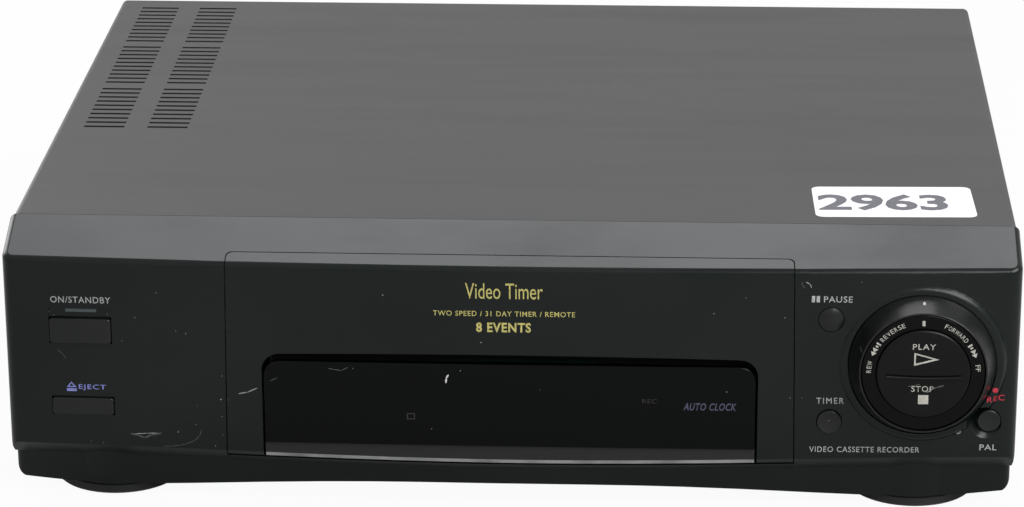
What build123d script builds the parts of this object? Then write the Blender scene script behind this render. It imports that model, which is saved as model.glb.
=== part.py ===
from build123d import *
import math
import os

os.makedirs("parts", exist_ok=True)

# Casing sizes (mm)
bezel_width = 390.0
cover_width = 388.0
cover_depth = 294.0
cover_height = 109.0
bezel_depth = 24.2
face_bow = 3.0
slope_drop = 9.0
corner_round = 4.5
edge_round = 2.4
wall = 2.6
steel = 0.8
plate_sheet = 1.0
sheet_gap = 0.1
pan_gap = 0.2
panel_gap = 0.6
socket_reach = 3.0

# Lower edge of the face: low in the middle, rising to the ends, with a chamfered band under it
smile_low = 20.2
smile_rise = 3.2
smile_span = 205.0
band_height = 5.4
band_depth = 4.3
band_side_depth = 1.0
ledge_drop = 3.0

# Plinth under the face
plinth_side_inset = 1.3
plinth_front_inset = 4.8
plinth_wall = 2.5
plinth_corner = 5.5
plinth_wave = ((0.0, 8.0), (55.0, 7.9), (112.0, 6.1), (148.0, 4.9), (178.0, 5.9), (205.0, 7.8))

# Cassette lid
lid_top_half = 108.1
lid_bottom_half = 109.6
lid_leg_inner = 95.5
lid_bar_bottom = 63.0
lid_wrap = 7.4
lid_thickness = 2.4
lid_corner = 2.5
lid_gap = 0.4
lid_pin_y = 4.0
lid_pin_z = 96.2
lid_pin_radius = 1.5

# Display flap
flap_half = 94.6
flap_top = 60.0
flap_chin_top = 26.2
flap_proud = 0.8
flap_thickness = 1.6
flap_pin_y = 4.0
flap_pin_z = 23.4
flap_pin_radius = 1.2

# Controls, as x and z on the face
power_x = (-177.2, -153.4)
power_z = (65.5, 75.7)
slit_x = (-170.9, -158.9)
slit_z = (78.2, 79.1)
eject_x = (-177.3, -153.4)
eject_z = (35.8, 42.9)
pause_at = (122.9, 79.7)
timer_at = (123.0, 37.9)
record_at = (184.1, 38.8)
pause_radius = 4.75
timer_radius = 4.7
record_radius = 4.4
button_gap = 0.3
button_edge = 0.6
button_corner = 1.2
flange_rim = 1.5
button_proud = 1.2
knob_at = (157.8, 62.0)
mound_height = 1.6
mound_spread = 5.6
shuttle_radius = 28.2
shuttle_height = 8.6
shuttle_taper = 3.9
shuttle_rim = 0.6
legend_band = 5.9
legend_recess = 0.35
disc_proud = 1.3
rib_margin = 3.5
rib_radius = 0.75
rib_proud = 1.15
rib_sag = 0.55
knob_clearance = 0.06
encoder_inset = 1.7
pivot_reach = 2.7
pivot_room = 0.5

# Feet
foot_radius = 25.5
foot_height = 4.6
foot_neck = 19.0
foot_edge = 0.9
foot_x = 156.5
foot_y = 5.0
rear_foot_radius = 12.0
rear_foot_x = 150.0
rear_foot_y = 250.0
pan_bottom = 8.0

# Cassette mechanism
deck_top = 34.0
deck_thickness = 1.6
holder_half = 94.4
holder_floor = 65.5
holder_height = 27.0
holder_front = 15.0
holder_length = 96.0
holder_drop = 27.0
holder_pin_radius = 2.0
holder_sheet = 0.6
frame_inner = 111.0
frame_sheet = 1.2
slider_inner = 113.5
reel_x = 46.0
reel_y = 129.0
reel_radius = 22.0
drum_y = 217.0
drum_radius = 31.0
guide_radius = 48.4
guide_start = 29.7
guide_swing = 74.0
capstan_at = (64.0, 173.0)
capstan_radius = 2.0
pinch_pivot = (92.0, 203.0)
pinch_rest = (58.6, 198.8)
pinch_radius = 6.0
cam_at = (-86.0, 226.0)
cam_radius = 15.0

shuttle_top_radius = shuttle_radius - shuttle_taper
legend_radius = shuttle_top_radius - shuttle_rim
disc_radius = legend_radius - legend_band
rib_half = disc_radius - rib_margin
pivot_half = disc_radius + pivot_reach
knob_reach = mound_height + shuttle_height - legend_recess + disc_proud + rib_proud
half = bezel_width / 2
cover_half = cover_width / 2
bow_radius = (half ** 2 + face_bow ** 2) / (2 * face_bow)
knob_face = bezel_depth + face_bow - bow_radius + math.sqrt(bow_radius ** 2 - knob_at[0] ** 2)
seam = (knob_face + knob_reach - cover_depth - socket_reach) / 2
face_mid = seam - bezel_depth - face_bow
rear = seam + cover_depth
rear_plate = rear - steel - plate_sheet - sheet_gap
cover_inner = cover_half - steel
slope = slope_drop / bezel_depth


def face_at(x):
    return face_mid + bow_radius - math.sqrt(bow_radius ** 2 - x ** 2)


def smile_at(x):
    share = min(abs(x), smile_span) / smile_span
    return smile_low + smile_rise * (1 - math.cos(math.pi * share)) / 2


def block(x, y, z, mode=Mode.ADD):
    with Locations(((x[0] + x[1]) / 2, (y[0] + y[1]) / 2, (z[0] + z[1]) / 2)):
        Box(x[1] - x[0], y[1] - y[0], z[1] - z[0], mode=mode)


def post(x, y, z, radius, mode=Mode.ADD):
    with Locations((x, y, (z[0] + z[1]) / 2)):
        Cylinder(radius, z[1] - z[0], mode=mode)


def rod_x(x, y, z, radius, mode=Mode.ADD):
    with Locations(((x[0] + x[1]) / 2, y, z)):
        Cylinder(radius, x[1] - x[0], rotation=(0, 90, 0), mode=mode)


def rod_y(x, y, z, radius, mode=Mode.ADD):
    with Locations((x, (y[0] + y[1]) / 2, z)):
        Cylinder(radius, y[1] - y[0], rotation=(90, 0, 0), mode=mode)


def cone_y(x, y, z, front_radius, back_radius, mode=Mode.ADD):
    with Locations((x, (y[0] + y[1]) / 2, z)):
        Cone(front_radius, back_radius, y[1] - y[0], rotation=(-90, 0, 0), mode=mode)


def plan(side_inset, front_inset, back):
    # Plan outline of the nose: straight sides and a shallow arc across the front
    edge = half - side_inset
    end = face_at(half) + front_inset
    with BuildSketch() as outline:
        with BuildLine():
            Polyline((-edge, end), (-edge, back), (edge, back), (edge, end))
            ThreePointArc((-edge, end), (0, end - face_bow), (edge, end))
        make_face()
        corners = outline.vertices().group_by(Axis.Y)[0]
        fillet(corners, max(corner_round - side_inset, 1.0))
    return outline.sketch


def bowed(x, z, front, back):
    # Slab following the bow of the face, between two depths measured from the face
    middle = (x[0] + x[1]) / 2
    with BuildPart() as slab:
        with BuildSketch(Plane.XY.offset(z[0])):
            with BuildLine():
                ThreePointArc(
                    (x[0], face_at(x[0]) + front),
                    (middle, face_at(middle) + front),
                    (x[1], face_at(x[1]) + front),
                )
                Polyline(
                    (x[1], face_at(x[1]) + front),
                    (x[1], face_at(x[1]) + back),
                    (x[0], face_at(x[0]) + back),
                    (x[0], face_at(x[0]) + front),
                )
            make_face()
        extrude(amount=z[1] - z[0])
    return slab.part


def flat_slab(x, z, front, back):
    # Short straight-fronted slab set square to the face at its middle
    with BuildPart() as slab:
        with BuildSketch(Plane.XY.offset(z[0])):
            with BuildLine():
                Polyline(
                    (x[0], face_at(x[0]) + front),
                    (x[1], face_at(x[1]) + front),
                    (x[1], face_at(x[1]) + back),
                    (x[0], face_at(x[0]) + back),
                    close=True,
                )
            make_face()
        extrude(amount=z[1] - z[0])
    return slab.part


def under_curve(curve, depth):
    # Everything below a smooth curve drawn on the front, from well in front to a depth behind
    with BuildPart() as region:
        with BuildSketch(Plane.XZ.offset(60 - seam)):
            with BuildLine():
                Spline(curve, tangents=[(1, 0), (1, 0)])
                Polyline(curve[-1], (curve[-1][0], -30), (curve[0][0], -30), curve[0])
            make_face()
        extrude(amount=-60 - depth)
    return region.part


def smile_curve(drop):
    steps = [smile_span * (i - 6) / 6 for i in range(13)]
    return [(x, smile_at(x) - drop) for x in steps]


def band_cutter():
    # Wedge in front of and below the sloping band, following the bow and the curved edge
    with BuildPart() as cutter:
        for i in range(9):
            x = (i - 4) * 49.0
            reach = min(abs(x), half)
            front = face_at(reach)
            high = smile_at(x)
            with BuildSketch(Plane.YZ.offset(x)):
                with BuildLine():
                    Polyline(
                        (front - band_depth, high + band_height),
                        (front + 2 * band_depth, high - 2 * band_height),
                        (front - band_depth, high - 4 * band_height),
                        close=True,
                    )
                make_face()
        loft()
    return cutter.part


def side_cutter(sign):
    # The same wedge along one end of the nose
    high = smile_at(half)
    with BuildPart() as cutter:
        with BuildSketch(Plane.XZ.offset(-seam - 10)):
            with BuildLine():
                Polyline(
                    (sign * (half + band_side_depth), high + band_height),
                    (sign * (half - 2 * band_side_depth), high - 2 * band_height),
                    (sign * (half + band_side_depth), high - 4 * band_height),
                    close=True,
                )
            make_face()
        extrude(amount=80)
    return cutter.part


band_wedges = [band_cutter(), side_cutter(-1), side_cutter(1)]


def nose(inset, back, floor_drop):
    # Solid under the bezel skin, moved inward by inset, without the plinth
    lift = inset * math.sqrt(1 + slope ** 2)
    with BuildPart() as body:
        with BuildSketch(Plane.XY.offset(5)):
            add(plan(inset, inset, back))
        extrude(amount=cover_height - lift - 5)
        with BuildSketch(Plane.YZ):
            with BuildLine():
                Polyline(
                    (seam, cover_height - lift),
                    (seam - 60, cover_height - lift - 60 * slope),
                    (seam - 60, cover_height + 20),
                    (back + 1, cover_height + 20),
                    (back + 1, cover_height - lift),
                    close=True,
                )
            make_face()
        extrude(amount=bezel_width, both=True, mode=Mode.SUBTRACT)
        add(under_curve(smile_curve(floor_drop), back - seam + 1), mode=Mode.SUBTRACT)
        for wedge in band_wedges:
            add(Pos(0, inset, inset) * wedge, mode=Mode.SUBTRACT)
    return body.part


nose_skin = nose(0, seam, band_height)
nose_cavity = nose(wall, seam + 10, ledge_drop)
nose_lid_back = nose(lid_thickness, seam, band_height)


def save(part, label):
    part.label = label
    export_step(part, "parts/" + label + ".step")


lid_back = face_mid + lid_wrap


def lid_prism(grow):
    top = lid_top_half + grow
    bottom = lid_bottom_half + grow
    with BuildPart() as prism:
        with BuildSketch(Plane.XZ.offset(60 - seam)):
            with BuildLine():
                Polyline(
                    (-top, cover_height + 5),
                    (-bottom, smile_low),
                    (-bottom, 0),
                    (bottom, 0),
                    (bottom, smile_low),
                    (top, cover_height + 5),
                    close=True,
                )
            make_face()
        extrude(amount=-(60 - seam + lid_back + grow))
        upright = prism.edges().filter_by(lambda e: abs(e.center().X) > lid_top_half - 5)
        fillet(upright.group_by(Axis.Y)[-1].sort_by(Axis.Z)[-2:], lid_corner)
    return prism.part


# Front bezel: shell with sloping top, plinth, lid opening, ears, mound and control openings
with BuildPart() as bezel_shell:
    add(nose_skin)
    top_edges = bezel_shell.edges().filter_by(lambda e: e.center().Z > 92 and e.center().Y < seam - 0.5)
    fillet(top_edges, edge_round)

knob_plane = face_at(knob_at[0])
mound_front = knob_plane - mound_height
mound_inner = shuttle_radius + 0.35
mound_outer = shuttle_radius + mound_spread
mound_root = -1.4
with BuildPart() as mound_lathe:
    with BuildSketch(Plane.XZ):
        with BuildLine():
            Polyline(
                (mound_inner - 2.6, mound_height),
                (mound_inner - 2.6, mound_root),
                (mound_outer, mound_root),
            )
            Line((mound_inner - 2.6, mound_height), (mound_inner + 0.5, mound_height))
            Spline(
                (mound_inner + 0.5, mound_height),
                (mound_inner + 2.6, 0.62 * mound_height),
                (mound_outer, mound_root),
                tangents=[(1, 0), (1, -0.15)],
            )
        make_face()
    revolve(axis=Axis.Z)
knob_mound = Pos(knob_at[0], knob_plane, knob_at[1]) * Rot(90, 0, 0) * mound_lathe.part



def corner_cutter(sign):
    # Waste outside the rounded lower corner at one end of the plinth, seen from the front
    edge = sign * (half - plinth_side_inset)
    centre = (edge - sign * plinth_corner, plinth_end + plinth_corner)
    with BuildPart() as cutter:
        with BuildSketch(Plane.XZ.offset(60 - seam)):
            with Locations((edge, plinth_end)):
                Rectangle(2 * plinth_corner, 2 * plinth_corner)
            with Locations(centre):
                Circle(plinth_corner, mode=Mode.SUBTRACT)
        extrude(amount=-80)
    return cutter.part


plinth_end = 6.6
plinth_y = (face_at(foot_x) + plinth_front_inset - 1.5, seam)
bulge_radius = seam + foot_y - plinth_y[0]
wave = [(-x, z) for x, z in reversed(plinth_wave[1:])] + list(plinth_wave)
with BuildPart() as plinth:
    with BuildSketch(Plane.XY.offset(2)):
        add(plan(plinth_side_inset, plinth_front_inset, seam))
        with Locations((-foot_x, seam + foot_y), (foot_x, seam + foot_y)):
            Circle(bulge_radius)
        add(
            plan(plinth_side_inset + plinth_wall, plinth_front_inset + plinth_wall, seam + 60),
            mode=Mode.SUBTRACT,
        )
        with Locations((-foot_x, seam + foot_y), (foot_x, seam + foot_y)):
            Circle(bulge_radius - plinth_wall, mode=Mode.SUBTRACT)
        with Locations((0, seam + 50)):
            Rectangle(bezel_width + 20, 100, mode=Mode.SUBTRACT)
    extrude(amount=20)
    add(under_curve(wave, 5), mode=Mode.SUBTRACT)
    add(under_curve(smile_curve(band_height - 1.2), 5), mode=Mode.INTERSECT)
    for sign in (-1, 1):
        add(corner_cutter(sign), mode=Mode.SUBTRACT)

ear_x = (lid_top_half + 0.6, lid_top_half + 5.0)
ear_y = (face_mid + 1.9, face_mid + 8.2)
ear_z = (lid_pin_z - 3.2, lid_pin_z + 3.6)
lid_axis_y = face_mid + lid_pin_y
tab_x = ((-170.0, -154.0), (-62.0, -46.0), (46.0, 62.0), (154.0, 170.0))
tab_bottom = smile_low - band_height
tab_back = seam + 9.0
left_board = seam - 10.0
side_board = seam - 12.0
board_bosses = (
    (-183.0, 92.0, left_board),
    (-119.0, 30.0, left_board),
    (119.0, 89.0, side_board),
    (119.0, 29.0, side_board),
)
boss_radius = 2.6
dimple_sphere = 9.0
dimple_lift = 6.7
with BuildPart() as front_bezel:
    add(bezel_shell.part)
    add(nose_cavity, mode=Mode.SUBTRACT)
    add(knob_mound)
    add(plinth.part)
    opening = lid_prism(lid_gap) - under_curve(smile_curve(ledge_drop), 10)
    add(opening, mode=Mode.SUBTRACT)
    for sign in (-1, 1):
        reach = sorted((sign * ear_x[0], sign * ear_x[1]))
        block(reach, ear_y, ear_z)
        rod_x((reach[0] - 1, reach[1] + 1), lid_axis_y, lid_pin_z, lid_pin_radius + 0.05, Mode.SUBTRACT)
    for low, high in tab_x:
        block((low, high), (seam - 7, tab_back), (tab_bottom, tab_bottom + 3.0))
        block((low, high), (seam - 7, seam - 2), (tab_bottom, smile_at(low) - ledge_drop))
    for x, z, back in board_bosses:
        rod_y(x, (face_at(x) + 1, back - 0.02), z, boss_radius)
    # Shallow well with the power button hole and the indicator slit
    well_x = (power_x[0] - button_gap, power_x[1] + button_gap)
    add(flat_slab(well_x, (power_z[1], slit_z[1] + 0.8), -1, 0.5), mode=Mode.SUBTRACT)
    for x, z in ((power_x, power_z), (eject_x, eject_z)):
        hole_x = (x[0] - button_gap, x[1] + button_gap)
        hole_z = (z[0] - button_gap, z[1] + button_gap)
        block(hole_x, (face_mid - 5, seam - 15), hole_z, Mode.SUBTRACT)
    block(slit_x, (face_mid - 5, seam - 15), slit_z, Mode.SUBTRACT)
    for centre, radius in ((pause_at, pause_radius), (timer_at, timer_radius), (record_at, record_radius)):
        rod_y(centre[0], (face_mid - 5, seam - 15), centre[1], radius + button_gap, Mode.SUBTRACT)
    # Dimple round the record button, deepest below it
    with Locations((record_at[0] - 0.9, face_at(record_at[0]) - dimple_lift, record_at[1] - 1.6)):
        Sphere(dimple_sphere, mode=Mode.SUBTRACT)
    # Pocket for the foot of the shuttle ring, and the hole for its sleeve
    rod_y(knob_at[0], (face_mid - 5, knob_plane + 0.4), knob_at[1], mound_inner, Mode.SUBTRACT)
    rod_y(knob_at[0], (face_mid - 5, seam - 15), knob_at[1], shuttle_radius - 1.8, Mode.SUBTRACT)
save(front_bezel.part, "front_bezel")

# Cassette lid: U-shaped skin with hinge lugs and pins near its top corners
lid_inner_round = 7.0
with BuildPart() as cassette_lid:
    add(nose_skin)
    lid_edges = cassette_lid.edges().filter_by(lambda e: e.center().Z > 92 and abs(e.center().X) < 5)
    fillet(lid_edges.filter_by(lambda e: e.center().Y < seam - 5), edge_round)
    add(nose_lid_back, mode=Mode.SUBTRACT)
    add(lid_prism(0), mode=Mode.INTERSECT)
    add(under_curve(smile_curve(2.0), 10), mode=Mode.SUBTRACT)
    with BuildSketch(Plane.XZ.offset(60 - seam)) as window:
        with BuildLine():
            Polyline(
                (-lid_leg_inner, lid_bar_bottom - 0.4),
                (-lid_leg_inner, 0),
                (lid_leg_inner, 0),
                (lid_leg_inner, lid_bar_bottom - 0.4),
            )
            ThreePointArc(
                (-lid_leg_inner, lid_bar_bottom - 0.4),
                (0, lid_bar_bottom + 0.7),
                (lid_leg_inner, lid_bar_bottom - 0.4),
            )
        make_face()
        fillet(window.vertices().group_by(Axis.Y)[-1], lid_inner_round)
    extrude(amount=-100, mode=Mode.SUBTRACT)
    for sign in (-1, 1):
        lug = sorted((sign * 103.5, sign * (lid_top_half - 0.2)))
        pin = sorted((sign * 103.5, sign * (ear_x[1] - 0.6)))
        block(lug, (face_at(106) + 1.0, lid_axis_y + 2.4), (lid_pin_z - 2.4, lid_pin_z + 2.6))
        rod_x(pin, lid_axis_y, lid_pin_z, lid_pin_radius)
save(cassette_lid.part, "cassette_lid")

# Display flap: smoked window standing a little proud, chin below it, lugs and pins at the bottom
flap_axis_y = face_mid + flap_pin_y + 0.4
lug_x = (73.0, 77.0)
flap_ear_x = (77.6, 80.6)
with BuildPart() as flap_window:
    add(bowed((-flap_half, flap_half), (flap_chin_top, flap_top), -flap_proud, flap_thickness))
    flap_corners = flap_window.edges().filter_by(Axis.Y).group_by(Axis.Z)[-1]
    fillet(flap_corners, 6.0)
    rim = flap_window.faces().filter_by(lambda f: f.normal_at().Y < -0.9)
    fillet(rim.edges().filter_by(lambda e: e.center().Z > flap_chin_top + 1), 0.5)
flap_back = nose(flap_thickness, seam, band_height)
with BuildPart() as display_flap:
    add(nose_skin)
    block((-flap_half, flap_half), (face_mid - 5, seam - 10), (0, flap_chin_top), Mode.INTERSECT)
    add(flap_back, mode=Mode.SUBTRACT)
    add(under_curve(smile_curve(2.0), 20), mode=Mode.SUBTRACT)
    add(flap_window.part)
    for sign in (-1, 1):
        lug = sorted((sign * lug_x[0], sign * lug_x[1]))
        pin = sorted((sign * lug_x[0], sign * flap_ear_x[1]))
        block(lug, (face_at(75) + 1.0, flap_axis_y), (flap_pin_z - 1.6, flap_pin_z + 1.6))
        rod_x(lug, flap_axis_y, flap_pin_z, 1.9)
        rod_x(pin, flap_axis_y, flap_pin_z, flap_pin_radius)
save(display_flap.part, "display_flap")

# Inner panel behind the flap, standing on the bezel floor, with hinge ears at its ends
panel_front = 11.5
panel_sheet = 2.0
panel_floor = (19.4, 20.9)
panel_feet = (-70.0, -30.0, 30.0, 70.0)
display_x = (-26.0, 34.0)
display_z = (28.0, 58.0)
key_x = (52.0, 64.0, 76.0, -52.0)
key_z = 45.0
key_size = (8.0, 5.0)
panel_y = face_mid + panel_front
panel_half = 93.0
panel_top = 61.0
with BuildPart() as inner_panel:
    block((-panel_half, panel_half), (panel_y, panel_y + panel_sheet), (panel_floor[0], panel_top))
    block((-panel_half, panel_half), (panel_y, seam - 3.0), panel_floor)
    under = under_curve(smile_curve(ledge_drop - 0.05), 10)
    for foot in panel_feet:
        block((foot - 6, foot + 6), (panel_y + panel_sheet, seam - 3.0), (16.0, 20.0))
    add(under, mode=Mode.SUBTRACT)
    block(display_x, (panel_y - 1, panel_y + 3), display_z, Mode.SUBTRACT)
    for x in key_x:
        hole = (x - key_size[0] / 2 - 0.3, x + key_size[0] / 2 + 0.3)
        block(hole, (panel_y - 1, panel_y + 3), (key_z - 2.8, key_z + 2.8), Mode.SUBTRACT)
    for sign in (-1, 1):
        ear = sorted((sign * flap_ear_x[0], sign * (flap_ear_x[1] + 2.0)))
        pin = sorted((sign * (flap_ear_x[0] - 1), sign * (flap_ear_x[1] + 0.4)))
        rod_x(ear, flap_axis_y, flap_pin_z, 1.8)
        block(ear, (flap_axis_y, panel_y + 0.5), (flap_pin_z + 0.3, flap_pin_z + 1.8))
        rod_x(pin, flap_axis_y, flap_pin_z, flap_pin_radius + 0.05, Mode.SUBTRACT)
save(inner_panel.part, "inner_panel")

# Fluorescent display in its window, and four keys beside it
with BuildPart() as fluorescent_display:
    block((display_x[0] + 0.3, display_x[1] - 0.3), (panel_y + 0.4, panel_y + 5), (28.3, 57.7))
    block((-20, 28), (panel_y + 5, panel_y + 6.3), (32, 54))
save(fluorescent_display.part, "fluorescent_display")

board_y = panel_y + 8.0
with BuildPart() as display_board:
    block((-92, 92), (board_y, board_y + 1.6), (24.0, 60.0))
    block((-8, 30), (board_y + 1.6, board_y + 4.2), (34, 44))
    for x in (-90.0, 90.0):
        block((x - 2, x + 2), (panel_y + 2, board_y), (30, 34))
    for x in (-18.0, 26.0):
        block((x - 2, x + 2), (panel_y + 6.35, board_y), (40, 44))
    for x in key_x:
        block((x - 3, x + 3), (panel_y + 5.6, board_y), (key_z - 3, key_z + 3))
        rod_y(x, (panel_y + 4.9, panel_y + 5.6), key_z, 1.5)
save(display_board.part, "display_board")

key_names = ("channel_up_key", "channel_down_key", "store_key", "tracking_key")
for x, label in zip(key_x, key_names):
    with BuildPart() as key:
        block(
            (x - key_size[0] / 2, x + key_size[0] / 2),
            (panel_y - 1.0, panel_y + 3.6),
            (key_z - key_size[1] / 2, key_z + key_size[1] / 2),
        )
        fillet(key.faces().sort_by(Axis.Y)[0].edges(), 0.6)
        block((x - 5, x + 5), (panel_y + 2.05, panel_y + 3.2), (key_z - 3.6, key_z + 3.6))
    save(key.part, label)


# Push buttons: front square to the face, guide block and retaining flange behind the wall
def bar_button(x, z, label):
    with BuildPart() as button:
        add(flat_slab(x, z, -button_proud, 9.0))
        fillet(button.edges().filter_by(Axis.Y), button_corner)
        front = button.faces().filter_by(lambda f: f.normal_at().Y < -0.9)
        fillet(front.edges(), button_edge)
        flange_x = (x[0] - flange_rim, x[1] + flange_rim)
        flange_z = (z[0] - flange_rim, z[1] + flange_rim)
        add(flat_slab(flange_x, flange_z, wall + 0.25, wall + 1.6))
    save(button.part, label)


bar_button(power_x, power_z, "power_button")
bar_button(eject_x, eject_z, "eject_button")


def round_button(centre, radius, label, crown):
    # The crown is positive for a domed front and negative for a dished one
    front = face_at(centre[0]) - button_proud
    ball = (radius ** 2 + crown ** 2) / (2 * abs(crown))
    flange_back = front + button_proud + wall + 1.9
    with BuildPart() as button:
        rod_y(centre[0], (front, flange_back), centre[1], radius)
        if crown > 0:
            with Locations((centre[0], front + ball, centre[1])):
                Sphere(ball, mode=Mode.INTERSECT)
        else:
            fillet(button.faces().sort_by(Axis.Y)[0].edges(), button_edge)
            with Locations((centre[0], front - ball - crown, centre[1])):
                Sphere(ball, mode=Mode.SUBTRACT)
        rod_y(centre[0], (flange_back - 1.2, flange_back), centre[1], radius + 1.2)
    save(button.part, label)


round_button(pause_at, pause_radius, "pause_button", 1.1)
round_button(timer_at, timer_radius, "timer_button", -0.9)
round_button(record_at, record_radius, "record_button", -0.5)

with BuildPart() as standby_indicator:
    inner_x = (slit_x[0] + 0.05, slit_x[1] - 0.05)
    inner_z = (slit_z[0] + 0.05, slit_z[1] - 0.05)
    add(bowed(inner_x, inner_z, 0.7, 12.0))
save(standby_indicator.part, "standby_indicator")

# Control boards left and right of the lid
with BuildPart() as left_control_board:
    block((-186, -116), (left_board, left_board + 1.6), (26, 96))
    for z in (power_z, eject_z):
        middle = (z[0] + z[1]) / 2
        block((-168.5, -162.5), (left_board - 3.5, left_board), (middle - 3, middle + 3))
        rod_y(-165.5, (left_board - 4.2, left_board - 3.5), middle, 1.6)
save(left_control_board.part, "left_control_board")

with BuildPart() as right_control_board:
    block((116, 189), (side_board, side_board + 1.6), (26, 92))
    for x, z in (pause_at, timer_at, record_at):
        block((x - 3, x + 3), (side_board - 1.2, side_board), (z - 3, z + 3))
        rod_y(x, (side_board - 1.9, side_board - 1.2), z, 1.6)
    rod_y(knob_at[0], (side_board - 1, side_board + 3), knob_at[1], 7.0, Mode.SUBTRACT)
save(right_control_board.part, "right_control_board")

# Jog and shuttle set: turning ring, fixed legend ring, rocking disc and the encoder behind
ring_front = mound_front - shuttle_height
ring_foot = knob_plane + 0.1
legend_front = ring_front + legend_recess
disc_face = legend_front - disc_proud
disc_back = disc_face + 7.3
pivot_y = disc_face + 5.8
encoder_y = (seam - 17.5, side_board - 0.05)
with BuildPart() as shuttle_ring:
    cone_y(knob_at[0], (ring_front, mound_front + 0.2), knob_at[1], shuttle_top_radius, shuttle_radius)
    fillet(shuttle_ring.faces().sort_by(Axis.Y)[0].edges(), 0.25)
    rod_y(knob_at[0], (mound_front + 0.2, ring_foot), knob_at[1], shuttle_radius)
    rod_y(knob_at[0], (ring_foot, seam - 18.5), knob_at[1], shuttle_radius - 2.1)
    rod_y(knob_at[0], (ring_front - 1, seam), knob_at[1], legend_radius + knob_clearance, Mode.SUBTRACT)
save(shuttle_ring.part, "shuttle_ring")

with BuildPart() as legend_ring:
    rod_y(knob_at[0], (legend_front, encoder_y[0] - 0.05), knob_at[1], legend_radius)
    fillet(legend_ring.faces().sort_by(Axis.Y)[0].edges(), 0.9)
    rod_y(knob_at[0], (legend_front - 1, seam), knob_at[1], disc_radius + 0.35, Mode.SUBTRACT)
    pivot_slot = (knob_at[0] - pivot_half - pivot_room, knob_at[0] + pivot_half + pivot_room)
    rod_x(pivot_slot, pivot_y, knob_at[1], 1.25, Mode.SUBTRACT)
save(legend_ring.part, "legend_ring")

rib_z = knob_at[1] - 1.0
rib_y = disc_face - rib_proud + rib_radius
with BuildPart() as rocker_rib:
    with BuildLine():
        rib_path = ThreePointArc(
            (knob_at[0] - rib_half, rib_y, rib_z),
            (knob_at[0], rib_y, rib_z - rib_sag),
            (knob_at[0] + rib_half, rib_y, rib_z),
        )
    with BuildSketch(Plane(origin=rib_path @ 0, z_dir=rib_path % 0)):
        Circle(rib_radius)
    sweep()

# Rocking disc: shallow dish in each half, a thin curved rib between them, pivot rod behind
dish_ball = 60.0
dish_depth = 0.35
dish_rise = 9.2
with BuildPart() as play_stop_disc:
    rod_y(knob_at[0], (disc_face, disc_back), knob_at[1], disc_radius)
    fillet(play_stop_disc.faces().sort_by(Axis.Y)[0].edges(), 1.0)
    for rise in (-dish_rise, dish_rise):
        with Locations((knob_at[0], disc_face + dish_depth - dish_ball, knob_at[1] + rise)):
            Sphere(dish_ball, mode=Mode.SUBTRACT)
    add(rocker_rib.part)
    rod_x((knob_at[0] - pivot_half, knob_at[0] + pivot_half), pivot_y, knob_at[1], 1.2)
    rod_y(knob_at[0], (disc_back, encoder_y[0] - 1.2), knob_at[1], 5.0)
save(play_stop_disc.part, "play_stop_disc")

with BuildPart() as shuttle_encoder:
    rod_y(knob_at[0], encoder_y, knob_at[1], shuttle_radius - encoder_inset)
    rod_y(knob_at[0], (encoder_y[0] - 1, encoder_y[0] + 3), knob_at[1], 8.0, Mode.SUBTRACT)
save(shuttle_encoder.part, "shuttle_encoder")

# Top cover: folded sheet, open at the front, with a rear opening and two columns of vent slots
slot_columns = ((-183.0, -166.2), (-156.6, -139.8))
slot_groups = (107.5, 168.1, 228.7)
slots_per_group = 10
slot_pitch = 5.68
slot_width = 2.0
cover_bottom = 9.0
rear_screw_x = 120.0
rear_screw_z = 102.0
side_screw_y = (60.0, 235.0)
side_screw_z = 17.0
with BuildPart() as top_cover:
    block((-cover_half, cover_half), (seam + 0.3, rear), (cover_bottom, cover_height))
    folds = top_cover.edges().filter_by(Axis.Y).group_by(Axis.Z)[-1]
    fillet(folds, 2.6)
    rear_edges = top_cover.faces().sort_by(Axis.Y)[-1].edges().filter_by(lambda e: e.center().Z > 20)
    fillet(rear_edges, 1.4)
    block(
        (-cover_inner, cover_inner),
        (seam - 5, rear - steel),
        (cover_bottom - 5, cover_height - steel),
        Mode.SUBTRACT,
    )
    block((-182, 182), (rear - 5, rear + 5), (cover_bottom - 5, 96), Mode.SUBTRACT)
    for low, high in slot_columns:
        for group in slot_groups:
            for i in range(slots_per_group):
                start = seam + group + i * slot_pitch
                slot = (start, start + slot_width)
                block((low, high), slot, (cover_height - 2, cover_height + 1), Mode.SUBTRACT)
    for sign in (-1, 1):
        rod_y(sign * rear_screw_x, (rear - 3, rear + 3), rear_screw_z, 1.8, Mode.SUBTRACT)
        for y in side_screw_y:
            side = sorted((sign * (cover_half - 3), sign * (cover_half + 3)))
            rod_x(side, seam + y, side_screw_z, 1.8, Mode.SUBTRACT)
save(top_cover.part, "top_cover")

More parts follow.
